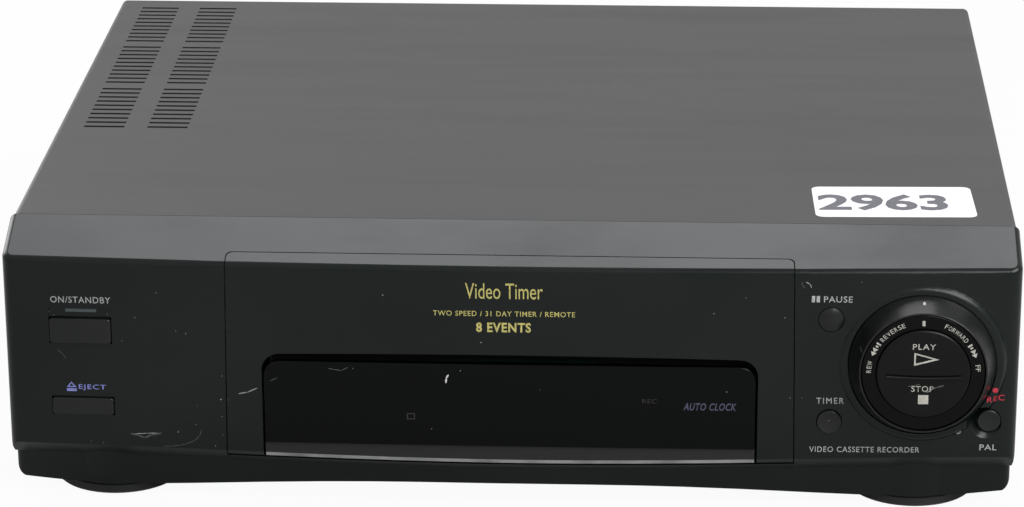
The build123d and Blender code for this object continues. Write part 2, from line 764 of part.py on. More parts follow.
# Base chassis: steel pan with side and rear flanges and stand-offs
pan_top = pan_bottom + 1.0
pan_half = cover_inner - pan_gap
board_z = 14.0
board_posts = (
    (-180.0, 112.0),
    (-140.0, 276.0),
    (-120.0, 24.0),
    (178.0, 24.0),
    (178.0, 205.0),
    (-20.0, 270.0),
)
deck_posts = ((-107.0, 68.0), (107.0, 68.0), (-107.0, 250.0), (107.0, 250.0))
with BuildPart() as base_chassis:
    block((-pan_half, pan_half), (seam + 1.2, rear_plate - 0.05), (pan_bottom, pan_top))
    block((-188, 188), (seam - 13, seam + 1.2), (pan_bottom, pan_top))
    for sign in (-1, 1):
        flange = sorted((sign * (pan_half - 1), sign * pan_half))
        block(flange, (seam + 1.2, rear_plate - 0.05), (pan_bottom, 24))
    block((-pan_half, pan_half), (rear_plate - 1.05, rear_plate - 0.05), (pan_bottom, 13.5))
    for x, y in board_posts:
        post(x, seam + y, (pan_top, board_z - 0.02), 3.0)
    for x, y in deck_posts:
        post(x, seam + y, (pan_top, deck_top - deck_thickness - 0.02), 3.5)
    for low, high in tab_x:
        block((low + 2, high - 2), (seam + 1.5, tab_back - 1), (pan_top, tab_bottom - 0.05))
    for i in range(8):
        x = -170 + i * 6.0
        block((x, x + 3), (seam + 150, seam + 210), (pan_bottom - 1, pan_top + 1), Mode.SUBTRACT)
    for sign in (-1, 1):
        for y in side_screw_y:
            side = sorted((sign * 190, sign * 195))
            rod_x(side, seam + y, side_screw_z, 1.5, Mode.SUBTRACT)
save(base_chassis.part, "base_chassis")

# Feet: two wide round ones under the plinth, two small ones at the rear
with BuildPart() as front_feet:
    for sign in (-1, 1):
        post(sign * foot_x, seam + foot_y, (0, foot_height), foot_radius)
        post(sign * foot_x, seam + foot_y, (foot_height, pan_bottom), foot_neck)
        post(sign * foot_x, seam + foot_y, (-1, 1.2), foot_radius - 8, Mode.SUBTRACT)
    circles = front_feet.edges().filter_by(GeomType.CIRCLE)
    chamfer(circles.filter_by(lambda e: e.radius > foot_radius - 1), foot_edge)
save(front_feet.part, "front_feet")

with BuildPart() as rear_feet:
    for sign in (-1, 1):
        post(sign * rear_foot_x, seam + rear_foot_y, (0, pan_bottom), rear_foot_radius)
        post(sign * rear_foot_x, seam + rear_foot_y, (-1, 2.5), rear_foot_radius - 5, Mode.SUBTRACT)
save(rear_feet.part, "rear_feet")

# Rear panel with socket openings and vents
scart_x = (18.0, 78.0)
scart_z = 25.0
scart_half = 24.0
scart_high = 7.0
scart_slant = 4.0
coax_x = (143.0, 165.0)
coax_z = 30.0
coax_radius = 4.75
inlet_x = -160.0
inlet_z = 26.0
rear_half = cover_inner - panel_gap
rear_top = cover_height - steel - panel_gap
with BuildPart() as rear_panel:
    block((-rear_half, rear_half), (rear_plate, rear_plate + plate_sheet), (14.0, rear_top))
    for x in scart_x:
        opening_x = (x - scart_half - 0.3, x + scart_half + 0.3)
        opening_z = (scart_z - scart_high - 0.3, scart_z + scart_high + 0.3)
        block(opening_x, (rear_plate - 1, rear_plate + 2), opening_z, Mode.SUBTRACT)
    for x in coax_x:
        rod_y(x, (rear_plate - 1, rear_plate + 2), coax_z, coax_radius + 0.4, Mode.SUBTRACT)
    block((inlet_x - 13.3, inlet_x + 13.3), (rear_plate - 1, rear_plate + 2), (18.7, 34.3), Mode.SUBTRACT)
    for i in range(16):
        x = -176 + i * 6.0
        block((x, x + 2.4), (rear_plate - 1, rear_plate + 2), (52, 88), Mode.SUBTRACT)
    for sign in (-1, 1):
        rod_y(sign * rear_screw_x, (rear_plate - 1, rear_plate + 2), rear_screw_z, 1.5, Mode.SUBTRACT)
save(rear_panel.part, "rear_panel")



def scart_prism(x, wide, high, y):
    # Socket outline with one slanted end, seen from behind
    with BuildPart() as prism:
        with BuildSketch(Plane.XZ.offset(-y[1])):
            with Locations((x, scart_z)):
                Polygon(
                    (-wide, high),
                    (wide, high),
                    (wide - scart_slant, -high),
                    (-wide, -high),
                    align=None,
                )
        extrude(amount=y[1] - y[0])
    return prism.part


for x, label in zip(scart_x, ("scart_socket_one", "scart_socket_two")):
    with BuildPart() as scart:
        block((x - 26, x + 26), (rear_plate - 18, rear_plate - 0.3), (board_z + 1.62, scart_z + 9))
        add(scart_prism(x, scart_half, scart_high, (rear_plate - 1, rear + 1.2)))
        add(scart_prism(x, scart_half - 2.5, scart_high - 2.5, (rear - 11, rear + 2)), mode=Mode.SUBTRACT)
        block((x - 19.5, x + 17.0), (rear - 12, rear - 1.5), (scart_z - 1.2, scart_z + 1.2))
    save(scart.part, label)

# Mains inlet: two-pin figure-eight socket
with BuildPart() as mains_inlet:
    block((inlet_x - 14.5, inlet_x + 14.5), (rear_plate - 17, rear_plate - 0.3), (board_z + 1.62, 36))
    block((inlet_x - 13, inlet_x + 13), (rear_plate - 1, rear + 0.8), (19, 34))
    with BuildSketch(Plane.XZ.offset(-rear - 2)):
        with Locations((inlet_x - 3.8, inlet_z + 0.5), (inlet_x + 3.8, inlet_z + 0.5)):
            Circle(4.6)
    extrude(amount=13.5, mode=Mode.SUBTRACT)
    for sign in (-1, 1):
        rod_y(inlet_x + sign * 3.8, (rear - 12, rear - 2), inlet_z + 0.5, 1.2)
save(mains_inlet.part, "mains_inlet")

with BuildPart() as tuner_module:
    block((130, 178), (seam + 226, rear_plate - 0.3), (board_z + 1.62, 46))
    for x in coax_x:
        rod_y(x, (rear_plate - 1, rear + socket_reach), coax_z, coax_radius)
        rod_y(x, (rear_plate + 1, rear + socket_reach + 1), coax_z, coax_radius - 0.9, Mode.SUBTRACT)
        rod_y(x, (rear_plate, rear + 1.5), coax_z, 1.6)
save(tuner_module.part, "tuner_module")

# Boards and power parts
board_sheet = 1.6
chip_sizes = ((-60, 60, 30, 30), (20, 70, 24, 24), (150, 90, 22, 22), (150, 150, 34, 12))
can_sizes = ((130, 60, 12), (140, 60, 12), (172, 120, 16), (128, 190, 20), (170, 180, 14))
with BuildPart() as main_board:
    block((-128, 187), (seam + 14, rear_plate - 4), (board_z, board_z + board_sheet))
    for x, y in deck_posts:
        post(x, seam + y, (board_z - 1, board_z + 3), 4.5, Mode.SUBTRACT)
    for x, y, wide, deep in chip_sizes:
        chip_z = (board_z + board_sheet, board_z + 4.2)
        block((x - wide / 2, x + wide / 2), (seam + y, seam + y + deep), chip_z)
    for x, y, high in can_sizes:
        post(x, seam + y, (board_z + board_sheet, board_z + board_sheet + high), 4.0)
save(main_board.part, "main_board")

with BuildPart() as power_board:
    block((-188, -134), (seam + 104, rear_plate - 4), (board_z, board_z + board_sheet))
    block((-184, -174), (seam + 216, seam + 224), (board_z + board_sheet, 28))
save(power_board.part, "power_board")

with BuildPart() as winding:
    block((-174, -148), (seam + 222, seam + 268), (22, 46))
    fillet(winding.edges().filter_by(Axis.X), 5.0)

with BuildPart() as transformer:
    block((-181, -141), (seam + 228, seam + 262), (board_z + 1.62, 52))
    add(winding.part)
save(transformer.part, "transformer")

with BuildPart() as heat_sink:
    block((-143, -140), (seam + 150, seam + 210), (board_z + 1.62, 62))
    for i in range(7):
        y = seam + 151 + i * 9.4
        block((-156, -143), (y, y + 1.6), (20, 62))
save(heat_sink.part, "heat_sink")

# Each capacitor as x, y behind the seam, radius and height
capacitor_sizes = (
    (-174, 136, 11, 38),
    (-176, 166, 8, 30),
    (-176, 190, 6.5, 26),
    (-150, 128, 7, 28),
)
with BuildPart() as capacitors:
    for x, y, radius, high in capacitor_sizes:
        post(x, seam + y, (board_z + 1.62, board_z + high), radius)
save(capacitors.part, "capacitors")

# Deck plate: bearings, pivots and curved guide slots for the tape mechanism
deck_bottom = deck_top - deck_thickness
drum = (0.0, seam + drum_y)
capstan = (capstan_at[0], seam + capstan_at[1])
pinch = (pinch_pivot[0], seam + pinch_pivot[1])
roller = (pinch_rest[0], seam + pinch_rest[1])
cam = (cam_at[0], seam + cam_at[1])
idler = (0.0, seam + 100.0)
idler_gear_at = (0.0, seam + 130.0)
slot_peg = 1.9
worm_x = cam_at[0] - cam_radius - 4.3
worm_z = 43.0
right_slot = -90 + guide_start
left_slot = -90 - guide_start
with BuildPart() as deck_plate:
    block((-115, 115), (seam + 60, seam + 262), (deck_bottom, deck_top))
    block((-92.5, 92.5), (seam + 6, seam + 60), (deck_bottom, deck_top))
    with BuildSketch(Plane.XY.offset(deck_bottom - 1)):
        for start, sweep in ((right_slot, guide_swing), (left_slot, -guide_swing)):
            path = CenterArc(drum, guide_radius, start, sweep, mode=Mode.PRIVATE)
            SlotArc(path, 2 * slot_peg + 0.4)
    extrude(amount=deck_thickness + 2, mode=Mode.SUBTRACT)
    post(capstan[0], capstan[1], (deck_bottom - 5, deck_top + 6), 4.5)
    post(capstan[0], capstan[1], (deck_bottom - 6, deck_top + 7), capstan_radius + 0.05, Mode.SUBTRACT)
    for sign in (-1, 1):
        post(sign * reel_x, seam + reel_y, (deck_bottom - 3, deck_top), 4.0)
        post(sign * reel_x, seam + reel_y, (deck_bottom - 4, deck_top + 1), 2.05, Mode.SUBTRACT)
    post(pinch[0], pinch[1], (deck_top, 47.0), 2.0)
    post(cam[0], cam[1], (deck_top, 47.0), 2.0)
    post(idler[0], idler[1], (deck_top, 41.0), 1.5)
    block((worm_x - 4, worm_x + 4), (seam + 204, seam + 206), (deck_top, worm_z + 4))
    rod_y(worm_x, (seam + 203, seam + 207), worm_z, 1.05, Mode.SUBTRACT)
save(deck_plate.part, "deck_plate")

# Side frames with a large window for the holder pins
frame_window_y = (64.5, 178.5)
frame_window_z = (49.0, 84.0)
frame_top = 95.0
for sign, label in ((-1, "side_frame_left"), (1, "side_frame_right")):
    with BuildPart() as side_frame:
        sheet = sorted((sign * frame_inner, sign * (frame_inner + frame_sheet)))
        shelf = sorted((sign * 104, sign * (frame_inner + frame_sheet)))
        block(sheet, (seam + 60.2, seam + 186), (deck_top + 0.02, frame_top))
        window_y = (seam + frame_window_y[0], seam + frame_window_y[1])
        block((sheet[0] - 1, sheet[1] + 1), window_y, frame_window_z, Mode.SUBTRACT)
        for low, high in ((62, 76), (160, 174)):
            block(shelf, (seam + low, seam + high), (deck_top + 0.02, deck_top + 1.2))
    save(side_frame.part, label)

# Slider carried along the frame tops, and the cassette holder that hangs in its slots
pin_z = holder_floor + 14.5
pin_y = (68.0, 103.0)
slider_outer = slider_inner + 1.2
slider_length = (60.0, 111.0)
with BuildPart() as holder_slider:
    for sign in (-1, 1):
        plate = sorted((sign * slider_inner, sign * slider_outer))
        span = (seam + slider_length[0], seam + slider_length[1])
        block(plate, span, (47.0, 97.0))
        for y in pin_y:
            slot_y = (seam + y - holder_pin_radius - 0.06, seam + y + holder_pin_radius + 0.06)
            slot_z = (pin_z - holder_drop - holder_pin_radius - 0.3, pin_z + holder_pin_radius + 0.3)
            block((plate[0] - 1, plate[1] + 1), slot_y, slot_z, Mode.SUBTRACT)
    block((-slider_outer, slider_outer), (seam + 78, seam + 92), (frame_top + 0.1, 97.0))
save(holder_slider.part, "holder_slider")

holder_back = holder_front + holder_length
holder_top = holder_floor + holder_height
with BuildPart() as cassette_holder:
    for sign in (-1, 1):
        side = sorted((sign * (holder_half - holder_sheet), sign * holder_half))
        ledge = sorted((sign * 76, sign * holder_half))
        stop = sorted((sign * 77, sign * 92))
        depth = (seam + holder_front, seam + holder_back)
        block(side, depth, (holder_floor, holder_top))
        block(ledge, depth, (holder_floor, holder_floor + holder_sheet))
        block(stop, (depth[1] - holder_sheet, depth[1]), (holder_floor, holder_top - 4))
        for y in pin_y:
            pin = sorted((sign * (holder_half - 0.2), sign * (slider_outer + 0.8)))
            rod_x(pin, seam + y, pin_z, holder_pin_radius)
    roof_z = (holder_top - holder_sheet, holder_top)
    block((-holder_half, holder_half), (seam + 22, seam + holder_back), roof_z)
    for x in (-62, 0, 62):
        block((x - 22, x + 22), (seam + 34, seam + 74), (holder_top - 5, holder_top + 1), Mode.SUBTRACT)
save(cassette_holder.part, "cassette_holder")

# Drum: fixed base with its shaft, and the spinning head drum above a narrow gap
with BuildPart() as drum_base:
    post(drum[0], drum[1], (deck_top + 0.02, 45.0), drum_radius)
    post(drum[0], drum[1], (45.0, 61.0), 3.0)
save(drum_base.part, "drum_base")

with BuildPart() as head_drum:
    post(drum[0], drum[1], (45.4, 60.0), drum_radius)
    chamfer(head_drum.faces().sort_by(Axis.Z)[-1].edges(), 0.8)
    post(drum[0], drum[1], (60.0, 62.4), 19.0)
    post(drum[0], drum[1], (45.0, 64.0), 3.05, Mode.SUBTRACT)
    for i in range(3):
        angle = math.radians(120 * i)
        x = drum[0] + 25 * math.cos(angle)
        y = drum[1] + 25 * math.sin(angle)
        post(x, y, (57, 62), 2.6, Mode.SUBTRACT)
save(head_drum.part, "head_drum")

# Capstan with flywheel, and its motor on three standoffs under the deck
with BuildPart() as capstan_shaft:
    post(capstan[0], capstan[1], (20.4, 62.0), capstan_radius)
    post(capstan[0], capstan[1], (20.6, 26.0), 24.0)
save(capstan_shaft.part, "capstan")

with BuildPart() as capstan_motor:
    block((capstan[0] - 28, capstan[0] + 28), (capstan[1] - 28, capstan[1] + 28), (16.8, 18.4))
    post(capstan[0], capstan[1], (18.4, 20.0), 20.0)
    for x, y in ((-25.5, -25.5), (25.5, -25.5), (25.5, 25.5), (-25.5, 25.5)):
        post(capstan[0] + x, capstan[1] + y, (18.4, deck_bottom - 0.02), 2.2)
save(capstan_motor.part, "capstan_motor")

# Pinch roller and its arm
with BuildPart() as pinch_arm:
    with BuildSketch(Plane.XY.offset(38.0)):
        with Locations(((pinch[0] + roller[0]) / 2, (pinch[1] + roller[1]) / 2)):
            reach = math.dist(pinch, roller)
            turn = math.degrees(math.atan2(roller[1] - pinch[1], roller[0] - pinch[0]))
            SlotCenterToCenter(reach, 7.0, rotation=turn)
    extrude(amount=2.0)
    post(pinch[0], pinch[1], (36.0, 46.0), 4.5)
    post(pinch[0], pinch[1], (35.0, 47.0), 2.06, Mode.SUBTRACT)
    post(roller[0], roller[1], (40.0, 60.0), 1.5)
save(pinch_arm.part, "pinch_arm")

with BuildPart() as pinch_roller:
    post(roller[0], roller[1], (42.0, 58.0), pinch_radius)
    post(roller[0], roller[1], (41.0, 59.0), 1.56, Mode.SUBTRACT)
save(pinch_roller.part, "pinch_roller")

# Reel tables: disc, hub, three-finned spindle and shaft
for sign, label in ((-1, "supply_reel"), (1, "takeup_reel")):
    with BuildPart() as reel:
        x = sign * reel_x
        y = seam + reel_y
        post(x, y, (34.6, 40.0), reel_radius)
        post(x, y, (40.0, 43.5), 9.0)
        post(x, y, (43.5, 52.0), 3.6)
        post(x, y, (deck_bottom - 2.0, 34.6), 2.0)
        with Locations((x, y, 46.5)):
            for turn in (0, 120, 240):
                with Locations(Rotation(0, 0, turn)):
                    with Locations((3.6, 0, 0)):
                        Box(3.2, 1.4, 6.5)
    save(reel.part, label)

idler_gear_radius = 19.0
with BuildPart() as idler_arm:
    block((-4, 4), (idler[1], idler_gear_at[1]), (38.6, 39.8))
    post(idler[0], idler[1], (36.0, 39.8), 4.0)
    post(idler[0], idler[1], (35.0, 41.0), 1.56, Mode.SUBTRACT)
    post(idler_gear_at[0], idler_gear_at[1], (35.0, 39.8), 1.5)
save(idler_arm.part, "idler_arm")

with BuildPart() as idler_gear:
    post(idler_gear_at[0], idler_gear_at[1], (35.2, 38.3), idler_gear_radius)
    post(idler_gear_at[0], idler_gear_at[1], (34, 39), 1.56, Mode.SUBTRACT)
save(idler_gear.part, "idler_gear")

# Guide carriages: curved shoe over the deck, peg through the slot, guide post and flange
for start, label in ((left_slot, "guide_carriage_left"), (right_slot, "guide_carriage_right")):
    with BuildPart() as carriage:
        with BuildSketch(Plane.XY.offset(deck_top + 0.3)):
            path = CenterArc(drum, guide_radius, start - 3.5, 7, mode=Mode.PRIVATE)
            SlotArc(path, 7.0)
        extrude(amount=3.2)
        x = drum[0] + guide_radius * math.cos(math.radians(start))
        y = drum[1] + guide_radius * math.sin(math.radians(start))
        post(x, y, (deck_bottom - 2, deck_top + 1), slot_peg)
        post(x, y, (deck_top + 3.5, 57.0), 2.6)
        post(x, y, (57.0, 58.4), 3.4)
    save(carriage.part, label)

# Cam gear with teeth, driven by the worm on the loading motor's shaft
tooth_count = 24
with BuildPart() as cam_gear:
    post(cam[0], cam[1], (40.0, 46.0), cam_radius - 1.2)
    for i in range(tooth_count):
        angle = math.radians(360 / tooth_count * i)
        x = cam[0] + (cam_radius - 0.9) * math.cos(angle)
        y = cam[1] + (cam_radius - 0.9) * math.sin(angle)
        with Locations(Pos(x, y, worm_z) * Rot(0, 0, math.degrees(angle))):
            Box(2.6, 1.9, 6.0)
    post(cam[0], cam[1], (36.0, 40.0), 6.0)
    post(cam[0], cam[1], (35.0, 47.0), 2.06, Mode.SUBTRACT)
save(cam_gear.part, "cam_gear")

motor_front = seam + 241.0
with BuildPart() as worm_shaft:
    rod_y(worm_x, (seam + 204.3, motor_front + 4.0), worm_z, 1.0)
    rod_y(worm_x, (seam + 210, motor_front - 2), worm_z, 3.3)
save(worm_shaft.part, "worm_shaft")

with BuildPart() as loading_motor:
    rod_y(worm_x, (motor_front, seam + 261), worm_z, 8.5)
    block((worm_x - 9, worm_x + 9), (motor_front, motor_front + 1.5), (deck_top + 0.02, worm_z + 8))
    rod_y(worm_x, (motor_front - 1, motor_front + 6), worm_z, 1.05, Mode.SUBTRACT)
save(loading_motor.part, "loading_motor")

# Heads beside the drum
with BuildPart() as control_head:
    block((58, 76), (seam + 208, seam + 224), (deck_top + 0.02, 36.0))
    block((61, 73), (seam + 211, seam + 221), (36.0, 56.0))
    fillet(control_head.edges().filter_by(Axis.Z).group_by(Axis.X)[1], 2.0)
save(control_head.part, "control_head")

with BuildPart() as erase_head:
    block((-74, -60), (seam + 190, seam + 202), (deck_top + 0.02, 36.0))
    block((-72, -62), (seam + 192, seam + 200), (36.0, 55.0))
save(erase_head.part, "erase_head")
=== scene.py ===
import bpy
import math
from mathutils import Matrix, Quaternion, Vector


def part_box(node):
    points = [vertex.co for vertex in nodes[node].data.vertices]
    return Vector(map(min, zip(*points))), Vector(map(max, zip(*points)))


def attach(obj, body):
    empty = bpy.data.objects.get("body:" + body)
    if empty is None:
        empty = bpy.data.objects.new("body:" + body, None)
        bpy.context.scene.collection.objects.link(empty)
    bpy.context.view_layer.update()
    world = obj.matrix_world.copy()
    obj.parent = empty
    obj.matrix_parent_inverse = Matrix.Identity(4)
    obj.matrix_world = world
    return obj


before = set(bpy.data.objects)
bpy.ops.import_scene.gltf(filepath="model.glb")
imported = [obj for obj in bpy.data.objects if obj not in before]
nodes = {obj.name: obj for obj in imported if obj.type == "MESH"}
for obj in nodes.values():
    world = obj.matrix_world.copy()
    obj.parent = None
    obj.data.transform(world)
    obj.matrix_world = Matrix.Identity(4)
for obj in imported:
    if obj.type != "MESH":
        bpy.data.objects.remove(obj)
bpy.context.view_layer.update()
mm = 0.001
seamGap = 0.3 * mm  # between the front moulding and the cover
standOff = 2 * mm  # prints start this far in front of the surface they land on
print("frame loaded:", len(nodes), "nodes")

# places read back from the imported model
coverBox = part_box("top_cover")
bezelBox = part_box("front_bezel")
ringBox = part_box("shuttle_ring")
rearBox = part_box("rear_panel")
seamY = coverBox[0][1] - seamGap
knobX = (ringBox[0][0] + ringBox[1][0]) / 2 / mm
knobZ = (ringBox[0][2] + ringBox[1][2]) / 2 / mm
faceFront = bezelBox[0][1] - standOff
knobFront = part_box("play_stop_disc")[0][1] - standOff
rearFront = rearBox[1][1] + standOff


def clearSelection():
    bpy.ops.object.select_all(action="DESELECT")


def pick(piece):
    clearSelection()
    piece.select_set(True)
    bpy.context.view_layer.objects.active = piece


def settle(piece, name):
    # place, turn and size go into the mesh
    pick(piece)
    bpy.ops.object.transform_apply(location=True, rotation=True, scale=True)
    piece.name = name
    piece.data.name = name
    return piece


def addModifier(piece, kind, **values):
    pick(piece)
    modifier = piece.modifiers.new(kind.title(), kind)
    for key, value in values.items():
        setattr(modifier, key, value)
    bpy.ops.object.modifier_apply(modifier=modifier.name)


def dress(piece, material, body):
    piece.data.materials.clear()
    piece.data.materials.append(material)
    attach(piece, body)
    return piece


def joinPieces(pieces):
    clearSelection()
    for piece in pieces:
        piece.select_set(True)
    bpy.context.view_layer.objects.active = pieces[0]
    if len(pieces) > 1:
        bpy.ops.object.join()
    return bpy.context.object


def fitFlat(piece, size):
    # centres a flat outline on the origin and brings it to (width, height) in mm
    low, high = Vector(piece.bound_box[0]), Vector(piece.bound_box[6])
    middle = (low + high) / 2
    stretch = (size[0] * mm / (high[0] - low[0]), size[1] * mm / (high[1] - low[1]), 1)
    bpy.ops.object.mode_set(mode="EDIT")
    bpy.ops.mesh.select_all(action="SELECT")
    bpy.ops.transform.translate(value=(-middle[0], -middle[1], 0))
    bpy.ops.transform.resize(value=stretch, center_override=(0, 0, 0))
    bpy.ops.object.mode_set(mode="OBJECT")


def selectFaces(piece, wanted):
    # leaves the piece in edit mode with only the wanted faces selected
    pick(piece)
    bpy.ops.object.mode_set(mode="EDIT")
    bpy.ops.mesh.select_mode(type="FACE")
    bpy.ops.mesh.select_all(action="DESELECT")
    bpy.ops.object.mode_set(mode="OBJECT")
    for face in piece.data.polygons:
        face.select = wanted(face)
    bpy.ops.object.mode_set(mode="EDIT")


# materials
def newSurface(name, colour, roughness, metallic=0.0, specular=0.5):
    material = bpy.data.materials.new(name)
    material.use_nodes = True
    shader = material.node_tree.nodes["Principled BSDF"]
    shader.inputs["Base Color"].default_value = (*colour, 1)
    shader.inputs["Roughness"].default_value = roughness
    shader.inputs["Metallic"].default_value = metallic
    shader.inputs["Specular IOR Level"].default_value = specular
    return material


def addNode(material, kind, **values):
    node = material.node_tree.nodes.new(kind)
    for key, value in values.items():
        if key in node.inputs:
            node.inputs[key].default_value = value
        else:
            setattr(node, key, value)
    return node


def link(material, source, target):
    material.node_tree.links.new(source, target)


def plug(material, output, socketName):
    link(material, output, material.node_tree.nodes["Principled BSDF"].inputs[socketName])


def objectPoints(material, stretch=(1, 1, 1), turn=(0, 0, 0)):
    points = addNode(material, "ShaderNodeTexCoord")
    mapping = addNode(material, "ShaderNodeMapping", Scale=stretch, Rotation=turn)
    link(material, points.outputs["Object"], mapping.inputs["Vector"])
    return mapping.outputs["Vector"]


def noiseField(material, scale, detail=3.0, stretch=(1, 1, 1), rough=0.5, turn=(0, 0, 0)):
    noise = addNode(material, "ShaderNodeTexNoise", Scale=scale, Detail=detail, Roughness=rough)
    link(material, objectPoints(material, stretch, turn), noise.inputs["Vector"])
    return noise.outputs["Fac"]


def remap(material, value, source, target):
    # source and target are (low, high) ranges
    node = addNode(material, "ShaderNodeMapRange")
    for socketName, number in zip(("From Min", "From Max", "To Min", "To Max"), (*source, *target)):
        node.inputs[socketName].default_value = number
    link(material, value, node.inputs["Value"])
    return node.outputs["Result"]


def combine(material, operation, first, second):
    node = addNode(material, "ShaderNodeMath", operation=operation)
    for socket, value in zip(node.inputs, (first, second)):
        if isinstance(value, (int, float)):
            socket.default_value = value
        else:
            link(material, value, socket)
    return node.outputs["Value"]


def tint(material, mask, colourA, colourB):
    node = addNode(material, "ShaderNodeMix", data_type="RGBA")  # inputs 6 and 7 and output 2 carry colour
    link(material, mask, node.inputs["Factor"])
    for socket, colour in ((node.inputs[6], colourA), (node.inputs[7], colourB)):
        if isinstance(colour, tuple):
            socket.default_value = (*colour, 1)
        else:
            link(material, colour, socket)
    return node.outputs[2]


def bumpFrom(material, height, strength, distance):
    bump = addNode(material, "ShaderNodeBump")
    bump.inputs["Strength"].default_value = strength
    bump.inputs["Distance"].default_value = distance
    link(material, height, bump.inputs["Height"])
    plug(material, bump.outputs["Normal"], "Normal")


def dustSpecks(material, scale, rarity):
    # tiny pale grains of dust that sit on the gloss
    cells = addNode(material, "ShaderNodeTexVoronoi", Scale=scale)
    link(material, objectPoints(material), cells.inputs["Vector"])
    near = remap(material, cells.outputs["Distance"], (0.05, 0.02), (0.0, 1.0))
    chance = addNode(material, "ShaderNodeSeparateColor")
    link(material, cells.outputs["Color"], chance.inputs["Color"])
    rare = combine(material, "GREATER_THAN", chance.outputs["Red"], rarity)
    return combine(material, "MULTIPLY", near, rare)


def mouldedPlastic(name, look):
    # fine spark grain under a handled, slightly dusty gloss
    material = newSurface(name, look["colour"], look["roughness"], specular=look["specular"])
    grain = noiseField(material, look["grain"], detail=2.0)
    haze = noiseField(material, 11.0, detail=5.0, stretch=(1, 1, 1.3), rough=0.62)
    wipes = noiseField(material, 46.0, stretch=(0.35, 1, 1.8), rough=0.6, turn=(0, 0.5, 0))
    film = remap(material, haze, (0.42, 0.72), (0.0, look["film"]))
    handled = tint(material, film, look["colour"], look["worn"])
    grains = dustSpecks(material, scale=420.0, rarity=0.985)
    plug(material, tint(material, grains, handled, (0.16, 0.16, 0.155)), "Base Color")
    spread = look["roughnessSpread"]
    dull = remap(material, haze, (0.3, 0.7), (look["roughness"] - spread, look["roughness"] + spread))
    streak = remap(material, wipes, (0.5, 0.75), (0.0, spread))
    plug(material, combine(material, "ADD", dull, streak), "Roughness")
    bumpFrom(material, grain, look["bump"], 0.1 * mm)
    return material


plasticLooks = {
    "caseBlack": dict(colour=(0.0009, 0.0036, 0.0028), worn=(0.016, 0.018, 0.017), film=0.2, roughness=0.24,
                      roughnessSpread=0.035, specular=0.235, grain=2600.0, bump=0.05),
    "lidBlack": dict(colour=(0.0009, 0.0036, 0.0028), worn=(0.016, 0.018, 0.017), film=0.22, roughness=0.23,
                     roughnessSpread=0.035, specular=0.235, grain=2600.0, bump=0.05),
    "controlBlack": dict(colour=(0.0052, 0.0057, 0.0057), worn=(0.03, 0.03, 0.03), film=0.2, roughness=0.26,
                         roughnessSpread=0.03, specular=0.27, grain=3000.0, bump=0.06),
    "discBlack": dict(colour=(0.0016, 0.0016, 0.0016), worn=(0.012, 0.012, 0.012), film=0.15,
                      roughness=0.24, roughnessSpread=0.03, specular=0.15, grain=3400.0, bump=0.08),
    "glossBlack": dict(colour=(0.0009, 0.0009, 0.0010), worn=(0.006, 0.006, 0.006), film=0.15,
                       roughness=0.16, roughnessSpread=0.03, specular=0.1, grain=1500.0, bump=0.02),
    "footBlack": dict(colour=(0.010, 0.010, 0.010), worn=(0.05, 0.05, 0.048), film=0.4, roughness=0.45,
                      roughnessSpread=0.08, specular=0.3, grain=1800.0, bump=0.2),
    "innerBlack": dict(colour=(0.006, 0.006, 0.006), worn=(0.03, 0.03, 0.03), film=0.4, roughness=0.55,
                       roughnessSpread=0.05, specular=0.3, grain=2200.0, bump=0.2),
    "reelGrey": dict(colour=(0.10, 0.10, 0.11), worn=(0.16, 0.16, 0.16), film=0.4, roughness=0.45,
                     roughnessSpread=0.05, specular=0.5, grain=2600.0, bump=0.1),
    "gearWhite": dict(colour=(0.62, 0.60, 0.55), worn=(0.45, 0.43, 0.37), film=0.5, roughness=0.42,
                      roughnessSpread=0.06, specular=0.5, grain=2600.0, bump=0.08),
    "standbyLens": dict(colour=(0.055, 0.066, 0.068), worn=(0.08, 0.09, 0.09), film=0.3, roughness=0.3,
                        roughnessSpread=0.03, specular=0.4, grain=2600.0, bump=0.02),
    "rollerBlack": dict(colour=(0.02, 0.02, 0.02), worn=(0.05, 0.045, 0.04), film=0.6, roughness=0.75,
                        roughnessSpread=0.06, specular=0.3, grain=3000.0, bump=0.3),
}
looks = {name: mouldedPlastic(name, look) for name, look in plasticLooks.items()}


def paintedSteel(name, look):
    # baked paint: fine orange peel, a thin film of dust and faint wiping marks
    material = newSurface(name, look["colour"], look["roughness"], specular=look["specular"])
    peel = noiseField(material, look["peel"], detail=2.0)
    cloud = noiseField(material, 4.5, detail=6.0, stretch=(1, 1.5, 1), rough=0.62)
    wipes = noiseField(material, 22.0, detail=4.0, stretch=(0.3, 1.7, 1), rough=0.6, turn=(0, 0, 0.25))
    rubbed = noiseField(material, 60.0, detail=2.0, stretch=(1, 0.3, 1), turn=(0, 0, 0.5))
    dust = remap(material, cloud, (0.35, 0.7), (0.0, look["dust"]))
    film = tint(material, dust, look["colour"], look["dustColour"])
    marks = remap(material, rubbed, (0.72, 0.80), (0.0, 0.2))
    plug(material, tint(material, marks, film, look["dustColour"]), "Base Color")
    base = remap(material, cloud, (0.3, 0.7), (look["roughness"] - 0.05, look["roughness"] + 0.05))
    streak = remap(material, wipes, (0.45, 0.75), (0.0, 0.07))
    plug(material, combine(material, "ADD", base, streak), "Roughness")
    bumpFrom(material, peel, look["bump"], 0.1 * mm)
    return material


